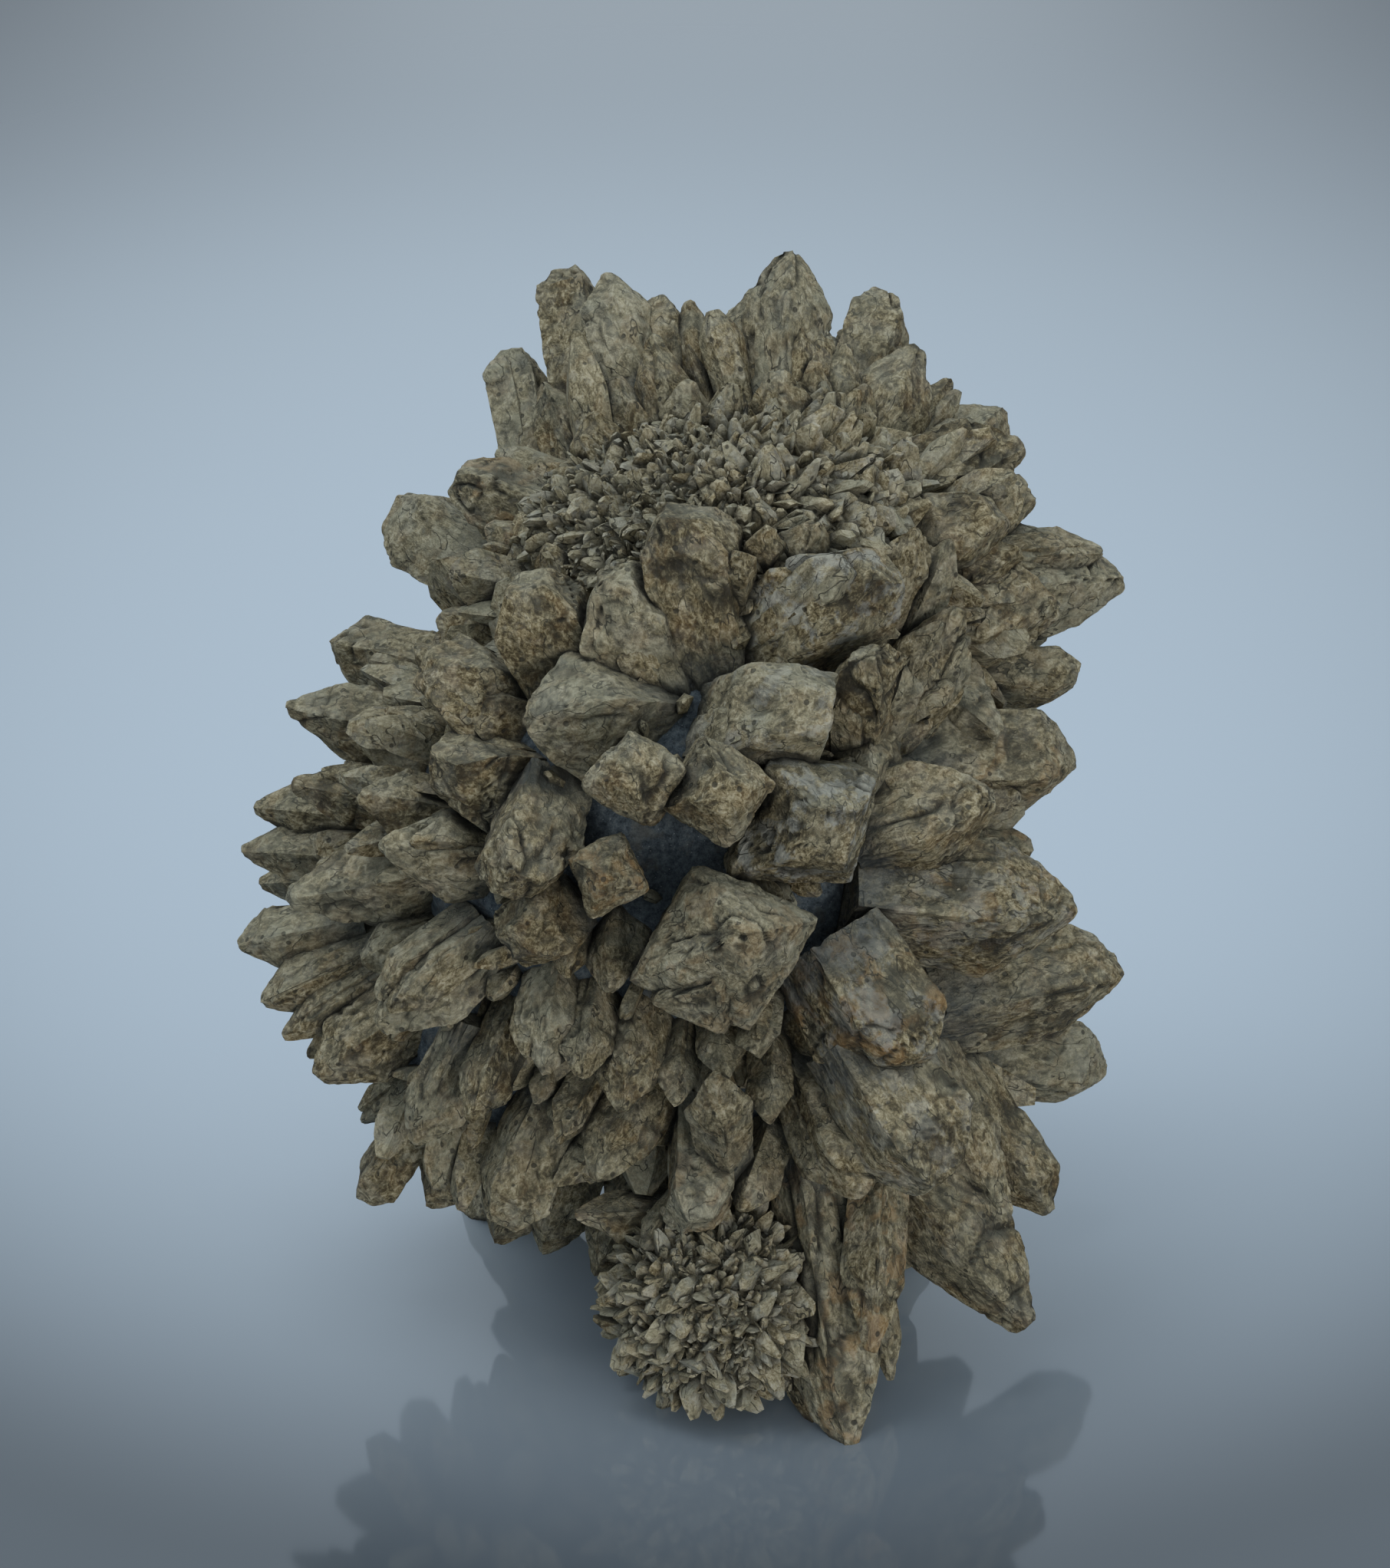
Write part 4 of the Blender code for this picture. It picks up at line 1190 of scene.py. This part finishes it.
def calcite_material(name, paleness, crevice_shade):
    """Weathered calcite: dashes and streaks along each crystal, stains, white patches, pits and cracks, with
    painted shade in its hollows, crevices and plate steps, and painted light on its ridges and on faces that
    point up.
    """
    material, tree, shader = new_material(name)
    grain = attribute(tree, "grain")
    along, relief, tint = parts_of(tree, attribute(tree, "mark"))
    stain, white, foot = parts_of(tree, attribute(tree, "looks"))

    dashes = cloud(tree, stretched(tree, grain, (0.9, 0.9, 0.62)), detail=4, rough=0.65, warp=0.9)
    flakes = cloud(tree, stretched(tree, grain, (0.40, 0.40, 0.30)), detail=3, rough=0.6, warp=0.4)
    flakes = maths(tree, "FRACT", times(tree, flakes, 9.0))
    streaks = cloud(tree, stretched(tree, grain, (2.0, 2.0, 0.15)), detail=3)
    patches = cloud(tree, grain, 0.15, detail=3)
    specks = cloud(tree, grain, 3.2, detail=3, rough=0.65)

    # The tone rises with the relief: painted light on the ridges and painted shade in the hollows, on top of
    # the grain.
    tone = added(tree, dashes, (relief, 0.11))
    for value, weight in ((specks, 0.35), (streaks, 0.05), (flakes, 0.09), (tint, 0.07)):
        tone = added(tree, tone, (centred(tree, value), weight))
    tone = maths(tree, "ADD", tone, paleness)
    colour = ramp(tree, tone, (0.36, DEEP_BROWN), (0.44, OLIVE), (0.54, TAN), (0.68, PALE_TAN))

    patchy = band(tree, patches, 0.46, 0.60, 0.0, 0.45)
    greyer = maths(tree, "ADD", patchy, band(tree, tint, 0.3, 1.0, 0.0, 0.45))
    colour = mix(tree, greyer, colour, mix(tree, 0.6, colour, GREY_TAN))
    rusty = band(tree, cloud(tree, grain, 0.2, detail=4, warp=0.6), 0.50, 0.62)
    rusty = times(tree, times(tree, rusty, stain), 0.75)
    colour = mix(tree, rusty, colour, mix(tree, 0.7, colour, RUST))
    whiter = band(tree, cloud(tree, grain, 0.17, detail=5, rough=0.7), 0.49, 0.59)
    colour = mix(tree, times(tree, times(tree, whiter, white), 0.6), colour, WHITISH)

    pits = band(tree, cells(tree, grain, 0.3), 0.10, 0.16, 1.0, 0.0)
    wander = cloud(tree, stretched(tree, grain, (0.24, 0.24, 0.12)), detail=3, rough=0.45, warp=0.3)
    cracks = band(tree, maths(tree, "ABSOLUTE", centred(tree, wander)), 0.003, 0.010, 1.0, 0.0)
    cracks = times(tree, cracks, band(tree, patches, 0.42, 0.52))
    # The foot of each plate step and each crack of the mesh are darkened: painted shadow along the steps, and
    # dark cracks.
    step_shadows_and_cracks = times(tree, foot, band(tree, specks, 0.40, 0.55))
    marks_and_step_shadows = maths(tree, "MAXIMUM", maths(tree, "MAXIMUM", pits, cracks), times(tree, step_shadows_and_cracks, 0.8))
    colour = mix(tree, times(tree, marks_and_step_shadows, 0.8), colour, DIRT_AND_SHADE)
    # Painted shade: the deepest hollows of the relief are darkened.
    colour = mix(tree, times(tree, band(tree, relief, -0.15, -0.75), 0.6), colour, DIRT_AND_SHADE)

    # Each crystal turns darker and bluer towards its root.
    rooted = added(tree, along, (centred(tree, patches), 0.5))
    colour = mix(tree, band(tree, rooted, 0.36, 0.12, 0.0, 0.5), colour, SLATE)
    # Painted light: faces that point up are mixed paler and greyer, as if lit from above.
    up = parts_of(tree, add_node(tree, "NewGeometry").outputs["Normal"])[2]
    colour = mix(tree, band(tree, up, 0.35, 1.0, 0.0, 0.22), colour, GREY_TAN)
    # Painted shade: the colour darkens towards near-black where the surface is shut in, in crevices and between
    # crystals.
    crevice_shading = band(tree, open_air(tree, 2.2 * MM), 0.86, 0.42, 0.0, crevice_shade)
    colour = mix(tree, crevice_shading, colour, DIRT_AND_SHADE)

    height = added(tree, dashes, (specks, 0.45), (streaks, 0.12), (flakes, 0.35), (marks_and_step_shadows, -0.8))
    cover(tree, shader, colour, height, 0.7, 0.55 * MM)
    tree.links.new(band(tree, specks, 0.3, 0.7, 0.78, 0.95), shader.inputs["Roughness"])
    shader.inputs["Specular IOR Level"].default_value = 0.3
    return material


def matrix_material():
    """Slate-blue, fine-grained matrix with tiny bright specks, and a pale crust under the small crystals."""
    material, tree, shader = new_material("slate_matrix")
    grain = attribute(tree, "grain")
    crust, _, _ = parts_of(tree, attribute(tree, "mark"))
    coarse = cloud(tree, grain, 0.9, detail=4, rough=0.65)
    fine = cloud(tree, grain, 4.0, detail=3, rough=0.7)
    tone = added(tree, coarse, (centred(tree, fine), 0.6))
    colour = ramp(tree, tone, (0.30, MATRIX_DARK), (0.5, MATRIX_MIDDLE), (0.70, MATRIX_PALE))
    dusty = band(tree, cloud(tree, grain, 0.22, detail=4), 0.52, 0.66, 0.0, 0.5)
    colour = mix(tree, dusty, colour, MATRIX_DUST)
    bright = band(tree, cells(tree, grain, 1.1), 0.14, 0.07, 0.0, 0.7)
    colour = mix(tree, bright, colour, MATRIX_SPECK)
    pale = ramp(tree, tone, (0.32, OLIVE), (0.52, GREY_TAN), (0.7, PALE_TAN))
    colour = mix(tree, crust, colour, pale)
    shaded = band(tree, open_air(tree, 4 * MM), 0.7, 0.2, 0.0, 0.5)
    colour = mix(tree, shaded, colour, MATRIX_SHADE)
    cover(tree, shader, colour, added(tree, coarse, (fine, 0.5)), 0.8, 0.6 * MM)
    shader.inputs["Roughness"].default_value = 0.85
    return material


# The stage: a pale glossy floor with a painted pool of light behind the specimen and painted shade around it,
# under a soft cool sky. The painted pool of light is an oval spread out from a point over the floor in front,
# by the slopes of the lines from there to the floor.
FLOOR_SIZE = 14.0
FLOOR_PAINTED_LIGHT = (0.56, 0.65, 0.74)
FLOOR_PAINTED_DIM = (0.100, 0.120, 0.140)
OVAL_FROM = (0.002, -0.516, 0.28)
OVAL_SLOPE = 0.36
OVAL_SLOPE_SPREAD = 0.255
OVAL_SIDE_SPREAD = 0.36


def from_oval(tree, value, spread):
    """How far a value is from the middle of the oval, squared: 1 at its edge."""
    return maths(tree, "POWER", maths(tree, "ABSOLUTE", maths(tree, "DIVIDE", value, spread)), 2.0)


def add_floor():
    mesh = shape_mesh("floor", bmesh.ops.create_grid, x_segments=1, y_segments=1, size=FLOOR_SIZE / 2)
    floor = new_object("floor", mesh)
    material, tree, shader = new_material("pale_floor")
    x, y, _ = parts_of(tree, add_node(tree, "TexCoord").outputs["Object"])
    away = maths(tree, "MAXIMUM", maths(tree, "SUBTRACT", y, OVAL_FROM[1]), 0.2)
    slope = maths(tree, "SUBTRACT", maths(tree, "DIVIDE", OVAL_FROM[2], away), OVAL_SLOPE)
    side = maths(tree, "DIVIDE", maths(tree, "SUBTRACT", x, OVAL_FROM[0]), away)
    from_middle = from_oval(tree, slope, OVAL_SLOPE_SPREAD), from_oval(tree, side, OVAL_SIDE_SPREAD)
    # Painted light and shade: the floor's colour is pale inside the oval and darker outside it.
    painted_dimming = band(tree, maths(tree, "ADD", *from_middle), 0.0, 1.5)
    tree.links.new(mix(tree, painted_dimming, FLOOR_PAINTED_LIGHT, FLOOR_PAINTED_DIM), shader.inputs["Base Color"])
    shader.inputs["Roughness"].default_value = 0.07
    shader.inputs["IOR"].default_value = 1.7
    mesh.materials.append(material)


def add_light(name, place, energy, size, colour):
    """A square soft light aimed at the middle of the specimen."""
    light = bpy.data.lights.new(name, "AREA")
    light.energy = energy
    light.size = size
    light.color = colour
    obj = new_object(name, light)
    obj.location = place
    aim = Vector((0, 0, MID_HEIGHT)) - Vector(place)
    obj.rotation_euler = aim.to_track_quat("-Z", "Y").to_euler()
    obj.visible_camera = False
    obj.visible_glossy = False


# The sky, and its darker part low down behind the specimen on the left and the right.
SKY = (0.80, 0.91, 1.0)
SKY_DIM = (0.25, 0.28, 0.32)
SKY_STRENGTH = 0.6

# Each light's name, place, watts, size and colour.
COOL = (0.93, 0.97, 1.0)
LIGHTS = (
    ("overhead", (-0.22, -0.10, 0.9), 2.1, 0.5, COOL),
    ("front", (0.38, -0.9, 0.26), 0.3, 0.5, (1.0, 0.98, 0.94)),
    ("low", (0.30, -0.72, 0.03), 2.7, 0.35, (1.0, 0.98, 0.95)),
    ("behind", (-0.2, 0.9, 0.7), 1.0, 0.6, COOL),
)


def light_scene():
    world = bpy.data.worlds.new("sky")
    bpy.context.scene.world = world
    world.use_nodes = True
    tree = world.node_tree
    sky = tree.nodes["Background"]
    x, y, z = parts_of(tree, add_node(tree, "TexCoord").outputs["Generated"])
    dimmer = times(tree, band(tree, z, 0.24, 0.06), band(tree, maths(tree, "ABSOLUTE", x), 0.04, 0.26))
    dimmer = times(tree, dimmer, band(tree, y, 0.0, 0.5))
    tree.links.new(mix(tree, dimmer, SKY, SKY_DIM), sky.inputs["Color"])
    sky.inputs["Strength"].default_value = SKY_STRENGTH
    for light in LIGHTS:
        add_light(*light)


# The camera's sensor in mm, and the nearest that it sees in metres.
SENSOR_HEIGHT = 36
NEAREST_SEEN = 0.01


def add_camera():
    """The camera that took the picture."""
    camera = bpy.data.cameras.new("camera")
    camera.sensor_fit = "VERTICAL"
    camera.sensor_height = SENSOR_HEIGHT
    camera.lens = SENSOR_HEIGHT * EYE_DISTANCE / PICTURE_HEIGHT
    camera.clip_start = NEAREST_SEEN
    obj = new_object("camera", camera)
    target = Vector((0, 0, MID_HEIGHT)) + CENTRING
    obj.location = target + TOWARD_EYE * EYE_DISTANCE
    obj.rotation_euler = (-TOWARD_EYE).to_track_quat("-Z", "Y").to_euler()
    bpy.context.scene.camera = obj


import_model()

calcite = calcite_material("weathered_calcite_surface", 0.0, 0.95)
pale_calcite = calcite_material("druse_calcite_surface", 0.07, 0.6)
slate = matrix_material()
cutters = add_cutters()

core_meshes = [core_mesh(lobe, fineness) for lobe, fineness in zip(LOBES, CORE_FINENESS)]
floor_only = new_collection("floor_only")
floor_only.objects.link(cutters.objects["floor_cutter"])
join("matrix", core_meshes, floor_only, slate)
for piece_name, crystals in (
    ("crown_crystals", TOP_RIM),
    ("plateau_crystals", DRUSE_RIM),
    ("upper_crystals", UPPER_FRONT),
    ("middle_crystals", MIDDLE_FRONT),
    ("left_crystals", LEFT_RIM),
    ("lower_left_crystals", LOWER_LEFT),
    ("lower_fan_crystals", LOWER_FAN),
):
    grow_piece(piece_name, with_ledges(crystals), FRONT_STEP, cutters, calcite)
back_rng = random.Random(LEDGE_SEED)
back = back_blades() + [foot_blade(foot) for foot in FEET]
back += [ledge for blade in list(back) for ledge in ledges_of(blade, BACK_LEDGES, back_rng)]
grow_piece("back_crystals", back, BACK_STEP, cutters, calcite)
grow_shards("upper_druse", druse_blades(UPPER_DRUSE), floor_only, pale_calcite)
grow_shards("lower_druse", druse_blades(LOWER_DRUSE), floor_only, pale_calcite)
grow_shards("gap_crystals", gap_blades(), floor_only, calcite)

for obj in list(cutters.objects):
    bpy.data.objects.remove(obj)
add_floor()
light_scene()
add_camera()
bpy.context.scene.view_settings.view_transform = "Standard"
